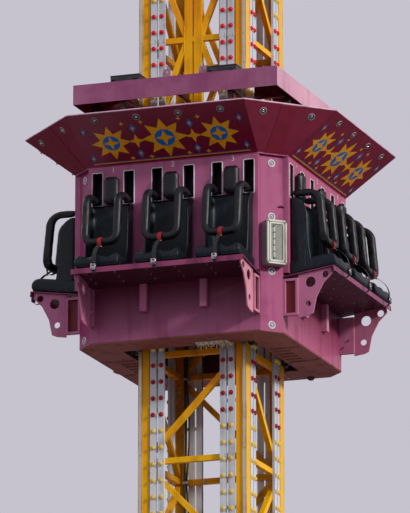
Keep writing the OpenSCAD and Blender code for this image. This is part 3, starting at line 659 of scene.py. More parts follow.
finish_piece("weld_beads", beads, [yellow_enamel], "tower", sharp=60)

# The guide rails are bare flat bars on the front and back of the columns. The carriage's
# rollers keep a bright band down the middle, grease and rust stay beside it, and countersunk
# screws hold the bar every foot or so.
rail_middle = tower_half - 0.0225
rail = Finish("bare_rail")
across = abs(abs(rail.axis("X")) - rail_middle)
band = 1.0 - rail.fade(across, 0.011, 0.018)
scratch = rail.noise(16, 5, stretch=(6, 6, 0.12))
rail_rust = rail.fade(rail.noise(3.5, 6), 0.46, 0.64)
rail_shade = rail.mix(rail.fade(scratch, 0.35, 0.65), tint(206, 190, 160), tint(176, 156, 122))
rail_shade = rail.mix(rail_rust * 0.75, rail_shade, tint(146, 104, 62))
rail_shade = rail.mix(band * 0.7, rail_shade, tint(222, 212, 190))
dress(rail.set(Base_Color=rail_shade, Metallic=band * 0.3 + 0.22,
               Roughness=0.52 - band * 0.22 + scratch * 0.1, Normal=rail.bump(scratch, 0.0006)),
      "guide_rails")


def screw_part(node, given):
    """A flat screw head with a slot, let into the surface."""
    head = node("GeometryNodeMeshCylinder", None,
                {"Vertices": 12, "Radius": given["Size"], "Depth": 0.0012})
    slot = node("GeometryNodeMeshCube", None, {"Size": (0.002, 0.013, 0.0016)})
    return join_parts(node, head, slot)


screws = copies_tree("slotted_screws", {"Size": 0.0085}, screw_part)
rail_screws = [((sx * rail_middle, sy * (tower_half + 0.0004), 0.62 + 0.33 * i), (0, sy, 0),
                (0, 0, 1)) for i in range(42) for sx in (-1, 1) for sy in (-1, 1)]
fasten("rail_screws", screws, rail_screws, "tower", 0.0075)

# The light strips are long folded channels in white enamel, in pairs beside every column.
# Each carries one round bulb every 18 cm, in groups of four red and seven amber, and its
# lengths are joined by a screwed cover at every node of the lattice.
white_enamel = enamel("white_enamel", (201, 206, 216), (218, 221, 226), (116, 112, 104),
                      streaks=0.5, chips=0.68, primer=(120, 110, 100), gloss=0.3)
dress(white_enamel, "light_strips")


def bulb_part(node, given):
    """A round cap lens over a short collar."""
    collar = node("GeometryNodeMeshCylinder", None,
                  {"Vertices": 10, "Radius": given["Collar"], "Depth": 0.016})
    lens = node("GeometryNodeMeshUVSphere", None,
                {"Segments": 10, "Rings": 4, "Radius": given["Lens"]})
    flat = node("GeometryNodeTransform", None, {"Geometry": lens, "Translation": (0, 0, 0.008),
                                                "Scale": (1, 1, 0.62)})
    return join_parts(node, collar, flat)


bulbs = copies_tree("cap_bulbs", {"Collar": 0.026, "Lens": 0.024}, bulb_part)


def lens_plastic(name, colour, deep, low=None):
    """Tinted clear plastic with a faint glow and ribs moulded inside. Below the carriage the
    lens may take another, darker colour."""
    glass = Finish(name)
    colour, deep = tint(*colour), tint(*deep)
    cloud = glass.noise(30, 4)
    ribs = glass.node("ShaderNodeTexWave", {"bands_direction": "Z"},
                      {"Vector": glass.place(), "Scale": 90.0, "Distortion": 0.0})
    shade = glass.mix(glass.fade(cloud, 0.3, 0.7), colour, deep)
    if low:
        shade = glass.mix(glass.axis("Z") < car_floor, shade, tint(*low))
    shade = glass.mix(ribs * 0.015, shade, tint(250, 240, 235))
    return glass.set(Base_Color=shade, Roughness=0.3 + cloud * 0.12, Specular_IOR_Level=0.2,
                     Emission_Color=shade, Emission_Strength=0.1, Normal=glass.bump(ribs, 0.0006))


red_lens = lens_plastic("red_lens", (224, 14, 10), (190, 4, 8), (146, 2, 30))
amber_lens = lens_plastic("amber_lens", (226, 194, 92), (210, 170, 60))
strip_half, strip_places = 0.036, []
for k in range(4):
    inner = (column_middle if k % 2 == 0 else column_depth_middle) - column_side / 2
    for s in (-1, 1):
        for gap in (0.016 + strip_half, 0.016 + 3 * strip_half + 0.020):
            strip_places.append((k, s * (inner - gap)))
first_below, pitch_below = car_floor - 0.152, 0.18125
first_above, pitch_above = car_floor + 3.224, 0.182
bulb_rows = [(first_below - pitch_below * n, n % 11 < 4) for n in range(-5, 40)]
bulb_rows = [row for row in bulb_rows if row[0] > 0.75]
bulb_rows += [(first_above + pitch_above * n, n % 11 < 4)
              for n in range(-11, 30) if first_above + pitch_above * n < tower_top - 0.08]
for is_red, finish, name in ((True, red_lens, "red_bulbs"), (False, amber_lens, "amber_bulbs")):
    places = [spot(side_turn[k], (x, -tower_half - 0.002, height), (0, -1, 0))
              for k, x in strip_places for height, red in bulb_rows if red == is_red]
    set_out(name, bulbs, places, finish, "tower", "strip_white", sharp=50)
strip_ends, strip_screws = Stock(), []
for k, x in strip_places:
    for z in (0.640, tower_top - 0.012):
        strip_ends.block((x - strip_half - 0.003, -tower_half - 0.003, z),
                         (x + strip_half + 0.003, -tower_half + 0.028, z + 0.012), side_turn[k])
    for level in range(1, panels):
        joint = node_low + level * panel
        strip_ends.block((x - strip_half - 0.0015, -tower_half - 0.0018, joint - 0.02),
                         (x + strip_half + 0.0015, -tower_half + 0.02, joint + 0.02), side_turn[k])
        for dz in (-0.012, 0.012):
            strip_screws.append(spot(side_turn[k], (x + 0.022, -tower_half - 0.003, joint + dz),
                                     (0, -1, 0)))
finish_piece("strip_joints", strip_ends, [white_enamel], "tower")
fasten("strip_screws", screws, strip_screws, "tower", 0.005)

# A loom of three black supply cables runs up the inner corner of the rear left column to the
# lamps. It is held by a steel saddle at every joint of the lattice, and sags a little between.
cable_sheath = clouded("cable_sheath", (40, 5), (0.5, 0.72), (22, 21, 22), (70, 66, 62),
                       (0.3, 0.45), 0.0006)
loom, saddles = Stock(), Stock()
corner_x, corner_y = -brace_reach_x, brace_reach_y
loom_low, loom_rise, steps = 0.66, (tower_top - 0.78) / panels, 8
for n, (dx, dy, radius) in enumerate(((0.015, 0.006, 0.012), (0.015, -0.019, 0.012),
                                      (0.037, -0.007, 0.010))):
    path = []
    for i in range(steps * panels + 1):
        sag = abs(math.sin(math.pi * i / steps)) * 0.008 * (n + 1)
        sag *= 1 + 0.6 * math.sin(1.3 * (i // steps) + n)
        path.append((corner_x + dx + sag, corner_y + dy - sag * 0.5,
                     loom_low + loom_rise * i / steps))
    loom.pipe(path, radius, 10)
for i in range(panels + 1):
    height = loom_low + loom_rise * i
    for low, high in (((-0.001, -0.035), (0.050, -0.032)), ((0.047, -0.035), (0.050, 0.022)),
                      ((-0.001, 0.019), (0.050, 0.022))):
        saddles.block((corner_x + low[0], corner_y + low[1], height - 0.014),
                      (corner_x + high[0], corner_y + high[1], height + 0.014), ease=0.001)
finish_piece("cable_loom", loom, [cable_sheath], "tower", sharp=60)
finish_piece("cable_saddles", saddles, [bright_zinc], "tower")

# The carriage walls are sheet steel in plum enamel: a lower sheet, and a proud pressed panel
# behind the seats with two slots for each restraint. White trims are riveted round the slots,
# and the seats are numbered in white above the headrests.
wall_face, panel_face = -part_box("floor_plates")[0].y, -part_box("front_wall")[0].y
side_half, seat_pitch = 0.973, 0.685
seat_row = [-seat_pitch, 0.0, seat_pitch]
slot_x, slot_half, slot_low, slot_high = 0.181, 0.056, 1.515, 1.877
side_place = [turn @ shift(0, 0, car_floor) for turn in side_turn]
plum_primer = {"chips": 0.70, "primer": (120, 62, 70)}
# The facets' plum takes painted sunlight, in its paler colour, on the faces to the sun at the
# right.
plum_enamel = enamel("plum_enamel", (152, 54, 104), (160, 66, 114), (100, 34, 60), streaks=0.3,
                     **plum_primer, gloss=0.26, broad=0.9, wave=0.12, painted_sun_from=0.95, shine=0.08)
# The walls wear a paler copy of the plum, painted light for their shaded fronts, with painted
# sunlight on the faces to the sun at the right, painted shade below the shelf and on the
# undersides, and painted shade on the sides of the slots.
wall_plum = enamel("wall_plum", (180, 102, 144), (184, 92, 124), (88, 16, 40), streaks=0.3,
                   **plum_primer, gloss=0.28, broad=0.9, wave=0.12, painted_sun_from=0.95,
                   painted_shade_below=(0.86, car_floor + 0.62, 0.72), shine=0.16,
                   slots=(car_floor + slot_low - 0.03, car_floor + slot_high + 0.03,
                          panel_face - 0.002, 0.940))
# The shelves' plum has painted shade on its undersides.
shelf_plum = enamel("shelf_plum", (138, 58, 98), (152, 72, 110), (52, 18, 28), streaks=0.4,
                    **plum_primer, gloss=0.32, wave=0.1, painted_shade_below=(0.85, 0.0, 1.0), shine=0.16)
# The gussets wear a paler copy of the plum as painted light, and their faces to the sun at the
# right take painted sunlight in a paler colour still.
gusset_plum_painted_sun = enamel("gusset_plum_painted_sun", (182, 102, 144), (220, 152, 168), (96, 34, 58), streaks=0.35,
                     **plum_primer, gloss=0.3, broad=0.9, wave=0.1, painted_sun_from=0.90, shine=0.16)
dress(plum_enamel, "corner_facets", "top_plates", "canopy_struts")
dress(gusset_plum_painted_sun, "shelf_gussets")
dress(wall_plum, "front_wall", "right_wall", "back_wall", "left_wall")
dress(shelf_plum, "seat_shelves")


def frame_ring(stock, half_wide, half_high, width, proud, place, corner=0.008, shade=0):
    """A raised frame with rounded corners round an opening, facing -y."""
    rings = []
    for quarter in range(4):
        sx, sz = (1, -1, -1, 1)[quarter], (1, 1, -1, -1)[quarter]
        for step in range(4):
            turn = math.radians(90 * quarter + 30 * step)
            nx, nz = math.cos(turn), math.sin(turn)
            cx, cz = sx * (half_wide - corner), sz * (half_high - corner)
            rings.append([(cx + nx * (corner + out), -deep, cz + nz * (corner + out))
                          for out, deep in ((0, -0.001), (0, proud * 0.6), (width * 0.2, proud),
                                            (width * 0.8, proud), (width, proud * 0.6),
                                            (width, -0.001))])
    stock.loft(rings, place, closed=True, shade=shade)


trims = Stock()
for turn in side_place:
    for x in seat_row:
        for s in (-1, 1):
            frame_ring(trims, slot_half, (slot_high - slot_low) / 2, 0.011, 0.006,
                       turn @ shift(x + s * slot_x, -panel_face, (slot_low + slot_high) / 2))
trim_white = enamel("trim_white", (214, 206, 216), (228, 224, 228), (120, 96, 104), streaks=0.6,
                    primer=(130, 90, 96), gloss=0.36)
finish_piece("slot_trims", trims, [trim_white], "carriage")

# Behind the slots a folded black guard closes off the bearings and shafts of a whole side.
guards = Stock()
guard_half, guard_back, guard_front = 0.955, 1.033, 1.140
guard_low, guard_high, sheet = 1.458, 1.927, 0.003
fold = [(guard_front, guard_low), (guard_back, guard_low), (guard_back, guard_high),
        (guard_front, guard_high), (guard_front, guard_high - sheet),
        (guard_back + sheet, guard_high - sheet), (guard_back + sheet, guard_low + sheet),
        (guard_front, guard_low + sheet)]
for turn in side_place:
    guards.loft([[(x, -u, z) for u, z in fold] for x in (-guard_half, guard_half)], turn)
    for s in (-1, 1):
        guards.between((s * guard_half, -guard_front, guard_low + sheet),
                       (s * (guard_half - sheet), -guard_back - sheet, guard_high - sheet), turn)
dull_black = enamel("dull_black", (24, 20, 24), (38, 33, 37), (52, 44, 40), streaks=0.5, chips=0.7,
                    primer=(60, 50, 46), gloss=0.5)
finish_piece("slot_guards", guards, [dull_black], "carriage")

numbers = Stock()
for k, turn in enumerate(side_place):
    for i, x in enumerate(seat_row):
        digits = bpy.data.objects.new("digits", bpy.data.curves.new("digits", "FONT"))
        digits.data.body, digits.data.size = str(3 * k + i + 1), 0.082
        digits.data.align_x, digits.data.extrude, digits.data.resolution_u = "CENTER", 0.0009, 3
        bpy.context.collection.objects.link(digits)
        settled = bmesh.new()
        bpy.context.view_layer.update()
        settled.from_mesh(digits.evaluated_get(bpy.context.evaluated_depsgraph_get()).to_mesh())
        numbers.take(settled, turn @ shift(x, -panel_face - 0.0005, 1.880) @ spin(90, "X"))
        bpy.data.objects.remove(digits)
finish_piece("seat_numbers", numbers, [trim_white], "carriage")


def rivet_part(node, given):
    """A low round head."""
    head = node("GeometryNodeMeshUVSphere", None,
                {"Segments": 10, "Rings": 5, "Radius": given["Size"]})
    return node("GeometryNodeTransform", None, {"Geometry": head, "Scale": (1, 1, 0.45)})


rivets = copies_tree("round_rivets", {"Size": 0.007}, rivet_part)


def along(start, end, count):
    return [Vector(start).lerp(Vector(end), i / (count - 1)) for i in range(count)]


def on_sides(points):
    """The same spots, facing outwards, on all four sides of the carriage."""
    return [spot(turn, point, (0, -1, 0)) for turn in side_place for point in points]


panel_rivets = along((-0.93, -panel_face, 0.690), (0.93, -panel_face, 0.690), 13)
for x in (-0.955, 0.955):
    panel_rivets += along((x, -panel_face, 0.78), (x, -panel_face, 1.90), 9)
set_out("panel_rivets", rivets, on_sides(panel_rivets), wall_plum, "carriage", "plum_paint",
        Size=0.0065)
seams = Stock()
for turn in side_place:
    for s in (-1, 1):
        seams.block((s * seat_pitch / 2 - 0.019, -wall_face - 0.003, 0.016),
                    (s * seat_pitch / 2 + 0.019, -wall_face + 0.001, 0.309), turn, ease=0.0012)
    seams.block((-side_half + 0.002, -wall_face - 0.0025, 0.013),
                (side_half - 0.002, -wall_face + 0.001, 0.034), turn, ease=0.001)
finish_piece("seam_covers", seams, [wall_plum], "carriage")
seam_spots = [(s * seat_pitch / 2 + side, -wall_face - 0.003, z) for s in (-1, 1)
              for side in (-0.011, 0.011) for z in (0.05, 0.13, 0.21, 0.29)]
set_out("seam_rivets", rivets, on_sides(seam_spots), wall_plum, "carriage", "plum_paint",
        Size=0.004)

# Round lamps sit on the corner facets, one above the other: a white ring, a dark cup and a
# bright domed reflector. The canopy has the same lamps near its rim.


def rim_part(node, given):
    """The lamp's round white ring."""
    hoop = node("GeometryNodeCurvePrimitiveCircle", None,
                {"Resolution": 24, "Radius": given["Size"]})
    section = node("GeometryNodeCurvePrimitiveCircle", None,
                   {"Resolution": 8, "Radius": given["Wire"]})
    return node("GeometryNodeCurveToMesh", None, {"Curve": hoop, "Profile Curve": section})


def cup_part(node, given):
    """The shallow cup inside the ring."""
    return node("GeometryNodeMeshCylinder", None,
                {"Vertices": 20, "Radius": given["Size"], "Depth": 0.006})


def dome_part(node, given):
    """The reflector with the bulb's cap in its middle."""
    dome = node("GeometryNodeMeshUVSphere", None,
                {"Segments": 16, "Rings": 8, "Radius": given["Size"]})
    cap = node("GeometryNodeMeshUVSphere", None, {"Segments": 10, "Rings": 6, "Radius": 0.010})
    flat = node("GeometryNodeTransform", None, {"Geometry": dome, "Scale": (1, 1, 0.5)})
    lift = node("GeometryNodeTransform", None, {"Geometry": cap, "Translation": (0, 0, 0.011)})
    return join_parts(node, flat, lift)


lamp_rims = copies_tree("lamp_rims", {"Size": 0.038, "Wire": 0.007}, rim_part)
lamp_cups = copies_tree("lamp_cups", {"Size": 0.038}, cup_part)
lamp_domes = copies_tree("lamp_domes", {"Size": 0.023}, dome_part)
chrome = clouded("chrome", (140, 4), (0.35, 0.7), (214, 216, 220), (150, 148, 150), (0.25, 0.05),
                 0.0004, Metallic=1.0)
cup_green = enamel("cup_green", (34, 46, 46), (52, 64, 62), (30, 28, 28), streaks=0.4, gloss=0.3)
ring_grey = enamel("ring_grey", (150, 138, 144), (172, 162, 166), (80, 60, 66), streaks=0.5,
                   gloss=0.3)
bulb_glass = clouded("bulb_glass", (60, 4), None, (226, 238, 244), (190, 208, 216), (0.15, 0.1),
                     0.0004, Coat_Weight=0.8)


def round_lamps(name, spots, ring, ring_finish, dome, dome_finish):
    """Sets whole lamps out on (place, facing, along) spots."""
    set_out(name + "_rims", lamp_rims, spots, ring_finish, "carriage", "lamp_case", sharp=50,
            Size=ring[0], Wire=ring[1])
    set_out(name + "_cups", lamp_cups, spots, cup_green, "carriage", "lamp_case", sharp=50,
            Size=ring[0])
    set_out(name + "_domes", lamp_domes, spots, dome_finish, "carriage", "lamp_case", sharp=60,
            Size=dome)


facet_middle = (wall_face + side_half) / 2
box_low, box_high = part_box("box_lamps")[0].z - car_floor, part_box("box_lamps")[1].z - car_floor
facet_spots = [spot(turn, (facet_middle, -facet_middle, z), Vector((1, -1, 0)).normalized())
               for turn in side_place for z in (0.074, box_low - 0.048, 1.266, 1.857)]
round_lamps("facet_lamps", facet_spots, (0.0365, 0.0082), trim_white, 0.018, bulb_glass)

# The canopy is a skirt of flat sheets that flares up and out from the wall tops: a long sheet
# on each side and a corner of three sheets, the middle one a cover strip. Below it is
# burgundy, a darker, redder colour than the plum, partly its own and partly painted shade,
# and a rolled flange stiffens its rim.
canopy_low, canopy_rise, canopy_out = 1.955, 0.430, 1.791
burgundy = enamel("burgundy", (128, 18, 52), (138, 26, 62), (74, 12, 32), streaks=0.25, chips=0.71,
                  primer=(120, 70, 74), gloss=0.3, broad=1.1, wave=0.18)
dress(burgundy, "canopy_panels", "canopy_corners")


def plane_at(origin, along_way, up):
    """The place of a flat sheet: x along it, y up it and z out of its face."""
    x, y = Vector(along_way).normalized(), Vector(up).normalized()
    return Matrix.Translation(origin) @ Matrix((x, y, x.cross(y))).transposed().to_4x4()


slope = plane_at((0, -panel_face, canopy_low), (1, 0, 0), (0, panel_face - canopy_out, canopy_rise))
corner_foot, corner_top = (panel_face + 0.969) / 2, (canopy_out + 1.013) / 2
corner_slope = plane_at((corner_foot, -corner_foot, canopy_low), (1, 1, 0),
                        (corner_top - corner_foot, corner_foot - corner_top, canopy_rise))
corner_long = 0.6102
strips = Stock()
for turn in side_place:
    strips.block((-0.098, 0.004, 0.0005), (0.098, corner_long - 0.004, 0.0035), turn @ corner_slope,
                 ease=0.001)
cover_red = enamel("cover_red", (124, 12, 42), (132, 18, 50), (70, 8, 26), streaks=0.25, gloss=0.28)
finish_piece("canopy_cover_strips", strips, [cover_red], "carriage")
strip_rivets = []
edge_rivets = along((-0.955, 0.014, 0), (0.955, 0.014, 0), 13)
for s in (-1, 1):
    edge_rivets += along((s * 0.945, 0.05, 0), (s * 0.985, 0.68, 0), 7)
for turn in side_place:
    for x in (-0.086, 0.086):
        for point in along((x, 0.03, 0.0035), (x, corner_long - 0.03, 0.0035), 7):
            strip_rivets.append(spot(turn @ corner_slope, point, (0, 0, 1), (0, 1, 0)))
    for point in edge_rivets:
        strip_rivets.append(spot(turn @ slope, point, (0, 0, 1), (0, 1, 0)))
set_out("canopy_rivets", rivets, strip_rivets, burgundy, "carriage", "plum_paint", Size=0.005)
flange, flange_up, flange_radius = Stock(), canopy_low + canopy_rise + 0.008, 0.0095
for turn in side_place:
    flange.pipe([(x, -canopy_out + 0.004, flange_up) for x in (-1.012, 1.012)], flange_radius, 8,
                turn)
    diagonal = turn @ shift(corner_top, -corner_top, flange_up) @ spin(45, "Z")
    for low, high in ((-0.548, -0.100), (-0.096, 0.096), (0.100, 0.548)):
        flange.pipe([(low, 0.004, 0), (high, 0.004, 0)], flange_radius, 8, diagonal)
# The flange's pale pink is a painted highlight along the rim.
flange_pink_highlight = enamel("flange_pink_highlight", (206, 158, 184), (222, 184, 204), (130, 80, 100), streaks=0.5,
                     gloss=0.32)
finish_piece("canopy_flange", flange, [flange_pink_highlight], "carriage", sharp=50)
canopy_spots = []
for turn in side_place:
    for place, y, across in ((slope, 0.618, (-0.717, -0.239, 0.239, 0.717)),
                             (corner_slope, 0.500, (-0.285, 0.285))):
        canopy_spots += [spot(turn @ place, (x, y, 0.001), (0, 0, 1), (0, 1, 0)) for x in across]
round_lamps("canopy_lamps", canopy_spots, (0.0375, 0.0052), ring_grey, 0.019, chrome)

# Each long sheet carries a band of eight-pointed stars and diamonds in orange and blue, cut
# from thin coloured sheet and laid on in layers.


def star(points, outer, inner):
    return [(reach * math.sin(math.pi * i / points), reach * math.cos(math.pi * i / points))
            for i, reach in enumerate([outer, inner] * points)][::-1]


def shifted(outline, x, y):
    return [(px + x, py + y) for px, py in outline]


motif = Stock()
for turn in side_place:
    there = turn @ slope

    def lay(outline, level, shade):
        motif.plate(outline, 0.0014, there @ shift(0, 0, 0.0006 + 0.0012 * level), shade)

    for x, y, size in ((0, 0.31, 0.262), (-0.615, 0.30, 0.225), (0.615, 0.30, 0.225)):
        lay(shifted(star(8, size, size * 0.56), x, y), 0, 0)
        lay(shifted(star(12, size * 0.44, size * 0.42), x, y), 1, 1)
        lay(shifted(star(4, size * 0.40, size * 0.15), x, y), 2, 0)
    for s in (-1, 1):
        for x, y, size in ((0.325, 0.47, 0.062), (0.325, 0.13, 0.062), (0.890, 0.48, 0.050),
                           (0.875, 0.11, 0.050)):
            lay(shifted(star(2, size, size * 0.62), s * x, y), 0, 1)
            lay(shifted(star(2, size * 0.45, size * 0.28), s * x, y), 1, 0)
        for x, y, size in ((0.325, 0.300, 0.095), (0.215, 0.545, 0.032), (0.435, 0.545, 0.032),
                           (0.215, 0.075, 0.032), (0.435, 0.075, 0.032)):
            lay(shifted(star(4, size, size * 0.36), s * x, y), 0, 0)
    for half, low, high, colour in ((0.90, 0.028, 0.038, 0), (0.88, 0.043, 0.048, 1)):
        lay([(-half, low), (half, low), (half, high), (-half, high)], 0, colour)
motif_orange = enamel("motif_orange", (255, 172, 4), (255, 180, 24), (160, 90, 16), streaks=0.25,
                      gloss=0.3)
motif_blue = enamel("motif_blue", (4, 112, 196), (20, 124, 200), (16, 60, 100), streaks=0.25,
                    gloss=0.3)
finish_piece("canopy_motif", motif, [motif_orange, motif_blue], "carriage")

# The flat hood over the canopy keeps rain off the hoist. It is mitred from four folded
# sheets, with painted sunlight in a pale colour on its sunny side and painted shade in a dark
# lining colour underneath, and stands on dark square posts.
hood_low, hood_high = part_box("hood")[0].z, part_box("hood")[1].z
hood_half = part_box("hood")[1].x
hood_coat = enamel("hood_coat", (146, 68, 114), (226, 172, 190), (110, 48, 74), streaks=0.25,
                   chips=0.70, primer=(130, 70, 78), gloss=0.34, broad=0.8, wave=0.15,
                   painted_sun_from=hood_half - 0.06, shaded_lining=(hood_half - 0.004, (112, 22, 46)))
dress(hood_coat, "hood")
hood_edges = Stock()
hood_end, fold_line, rib_start = hood_half - 0.001, -hood_half + 0.003, -hood_half + 0.012
for turn in side_turn:
    for path in ([(-hood_end, fold_line, hood_low), (hood_end, fold_line, hood_low)],
                 [(-hood_end, fold_line, hood_high), (hood_end, fold_line, hood_high)],
                 [(-fold_line, fold_line, hood_low), (-fold_line, fold_line, hood_high)]):
        hood_edges.pipe(path, 0.004, 8, turn)
    for x in (-0.60, 0.0, 0.60):
        hood_edges.block((x - 0.02, rib_start, hood_low + 0.03), (x + 0.02, -0.71, hood_low + 0.06),
                         turn, ease=0.002)
        hood_edges.block((x - 0.003, rib_start, hood_low + 0.058),
                         (x + 0.003, -0.71, hood_high - 0.012), turn)
finish_piece("hood_edges", hood_edges, [hood_coat], "carriage", sharp=50)
frame_enamel = enamel("frame_enamel", (58, 36, 42), (76, 50, 56), (34, 26, 24), streaks=0.7,
                      chips=0.64, primer=(110, 64, 40), gloss=0.42)
dress(frame_enamel, "hood_posts", "guide_frame")

# Two black relay boxes with screwed lids and two lifting eyes stand on the front and back of
# the hood.
fitting = Finish("fitting_black")
eye_gap = abs(fitting.axis("X") - 0.0927)
eye_mask = 1.0 - fitting.fade(abs(eye_gap - 0.2078), 0.05, 0.055)
dust = fitting.noise(7, 5)
fitting_shade = fitting.mix(fitting.fade(dust, 0.4, 0.7) * 0.5, tint(34, 36, 46), tint(74, 70, 74))
eye_shade = fitting.mix(dust, tint(196, 140, 166), tint(150, 92, 120))
dress(fitting.set(Base_Color=fitting.mix(eye_mask, fitting_shade, eye_shade),
                  Roughness=dust * 0.3 + 0.3, Normal=fitting.bump(fitting.noise(160, 4), 0.0006)),
      "hood_fittings")
lids, lid_screws, eye_parts = Stock(), [], Stock()
for k in (0, 2):
    top = hood_high + 0.072
    for x in (-0.494 * hood_half, 0.452 * hood_half):
        lids.block((x - 0.172, -hood_half + 0.016, top - 0.010),
                   (x + 0.172, -hood_half + 0.224, top + 0.004), side_turn[k], ease=0.003)
        lids.block((x - 0.150, -hood_half + 0.008, top - 0.052),
                   (x - 0.110, -hood_half + 0.020, top - 0.030), side_turn[k], ease=0.003)
        lids.turned([(0, 0), (0.016, 0), (0.016, 0.020), (0.011, 0.030), (0, 0.030)], 12,
                    side_turn[k] @ shift(x + 0.12, -hood_half + 0.020, top - 0.045) @ spin(90, "X"))
        for dx in (-0.155, 0.155):
            for dy in (0.030, 0.208):
                lid_screws.append((side_turn[k] @ Vector((x + dx, -hood_half + dy, top + 0.0045)),
                                   (0, 0, 1), (1, 0, 0)))
    for x in (-0.098 * hood_half, 0.256 * hood_half):
        eye = side_turn[k] @ shift(x, -hood_half + 0.068, hood_high + 0.065)
        ring = [(0, 0.036 * math.sin(a), 0.030 + 0.042 * math.cos(a))
                for a in (2 * math.pi * n / 16 for n in range(16))]
        eye_parts.pipe(ring, 0.006, 8, eye, closed=True)
lid_black = enamel("lid_black", (30, 32, 42), (48, 50, 60), (70, 62, 60), streaks=0.4, gloss=0.3)
finish_piece("relay_box_lids", lids, [lid_black], "carriage", sharp=45)
fasten("lid_screws", screws, lid_screws, "carriage", 0.006)
finish_piece("lifting_shackles", eye_parts, [bright_zinc], "carriage", sharp=60)

# Each seat is one hollow moulding in charcoal plastic: a pan with two thigh troughs, a raised
# middle and thick side bolsters, and a back with deep wings. It is bolted to the shelf.
charcoal = Finish("charcoal_shell")
grain = charcoal.node("ShaderNodeTexVoronoi", None, {"Vector": charcoal.place(), "Scale": 420.0})
scuff = charcoal.fade(charcoal.noise(26, 5, stretch=(1, 1, 0.35)), 0.55, 0.72)
bloom = charcoal.fade(charcoal.noise(3.0, 5), 0.35, 0.72)
shell_shade = charcoal.mix(bloom, tint(11, 20, 28), tint(22, 34, 43))
shell_shade = charcoal.mix(scuff * 0.3, shell_shade, tint(78, 81, 88))
charcoal_shell = charcoal.set(Base_Color=shell_shade, Specular_IOR_Level=0.3,
                              Roughness=0.36 + scuff * 0.25 + bloom * 0.12,
                              Normal=charcoal.bump(grain * 0.3 + scuff * 0.25, 0.0005))


def smooth_step(value, low, high):
    t = min(max((value - low) / (high - low), 0.0), 1.0)
    return t * t * (3 - 2 * t)


def pan_height(x, s):
    """How high the pan's skin stands over its foot, across x and at a distance s out."""
    trough = math.exp(-((abs(x) - 0.108) / 0.062) ** 2)
    middle = math.exp(-(x / 0.045) ** 2)
    high = 0.166 - trough * (0.046 - 0.012 * smooth_step(s, 0.42, 0.56))
    high -= middle * 0.020 * (1 - smooth_step(s, 0.2, 0.45))
    high -= 0.030 * smooth_step(abs(x), 0.226, 0.252)
    return high


seat_stock = Stock()
pan_tilt = shift(0, -wall_face, 0.612) @ spin(-8, "X")
rings = []
pan_steps = [(s, 0.0, 0.0) for s in (0.068, 0.085, 0.14, 0.20, 0.27, 0.34, 0.41, 0.47)]
pan_steps += [(0.520, 0.001, 0.002), (0.552, 0.007, 0.006), (0.578, 0.020, 0.016),
              (0.594, 0.040, 0.034), (0.600, 0.066, 0.058)]
for s, cut, lift in pan_steps:
    across = [-0.247 + 0.494 * n / 24 for n in range(25)]
    top = [(x, -s, 0.010 + pan_height(x, s) - cut) for x in across]
    under = [(x, -s, 0.0115 + lift) for x in (0.236, 0.15, 0.05, -0.05, -0.15, -0.236)]
    rings.append([(-0.249, -s, 0.030 + lift), (-0.249, -s, 0.125 - cut * 0.75)] + top
                 + [(0.249, -s, 0.125 - cut * 0.75), (0.249, -s, 0.030 + lift)] + under)
seat_stock.loft(rings, pan_tilt)
rings = []
for z, reach, thick in ((0.722, 0.250, 0.052), (0.735, 0.252, 0.050), (0.80, 0.236, 0.046),
                        (0.88, 0.220, 0.044), (0.97, 0.203, 0.044), (1.06, 0.193, 0.046),
                        (1.15, 0.192, 0.044), (1.24, 0.192, 0.040), (1.33, 0.190, 0.036),
                        (1.40, 0.176, 0.034), (1.445, 0.140, 0.032), (1.478, 0.098, 0.030),
                        (1.497, 0.066, 0.026), (1.499, 0.062, 0.022)):
    ring = [(-0.246, 0.0015), (-0.12, 0.0012), (0.12, 0.0012), (0.246, 0.0015),
            (0.2468, reach * 0.5), (0.2465, reach - 0.012), (0.243, reach - 0.002), (0.234, reach),
            (0.2262, reach - 0.004), (0.2225, reach - 0.016), (0.219, reach * 0.62),
            (0.212, max(reach * 0.36, thick)), (0.192, max(reach * 0.2, thick * 0.95)),
            (0.150, thick * 0.92), (0.085, thick * 0.86), (0.03, thick * 0.84)]
    ring += [(-x, u) for x, u in reversed(ring[4:])]
    rings.append([(x, -panel_face - u, z) for x, u in ring])
seat_stock.loft(rings)
piping = [(0.245, 0.735), (0.226, 0.83), (0.196, 1.0), (0.188, 1.15), (0.187, 1.33), (0.168, 1.40),
          (0.128, 1.452), (0.070, 1.486)]
for s in (-1, 1):
    seat_stock.pipe([(s * 0.2345, -panel_face - out, z) for out, z in piping], 0.0115, 8)
for k, turn in enumerate(side_place):
    moulded = Stock()
    for x in seat_row:
        moulded.add(seat_stock.points, seat_stock.faces, turn @ shift(x, 0, 0))
    finish_piece(f"seats_{sides[k]}_moulded", moulded, [charcoal_shell], "carriage",
                 [f"seats_{sides[k]}"], sharp=70, rounds=1)

# A padded headrest in black skinned foam is fixed to the panel between the two slots of
# every seat. Air pressure in a cloth model gives the foam its crown.
black_skin = Finish("black_skin")
leather = black_skin.node("ShaderNodeTexVoronoi", None,
                          {"Vector": black_skin.place(), "Scale": 260.0})
worn = black_skin.fade(black_skin.noise(9, 5), 0.5, 0.74)
skin_shade = black_skin.mix(worn, tint(15, 18, 24), tint(40, 43, 50))
creases = black_skin.bump(leather * 0.5, 0.0006, 0.8)
black_skin_foam = black_skin.set(Base_Color=skin_shade, Specular_IOR_Level=0.4,
                                 Roughness=0.44 + worn * 0.2, Normal=creases)


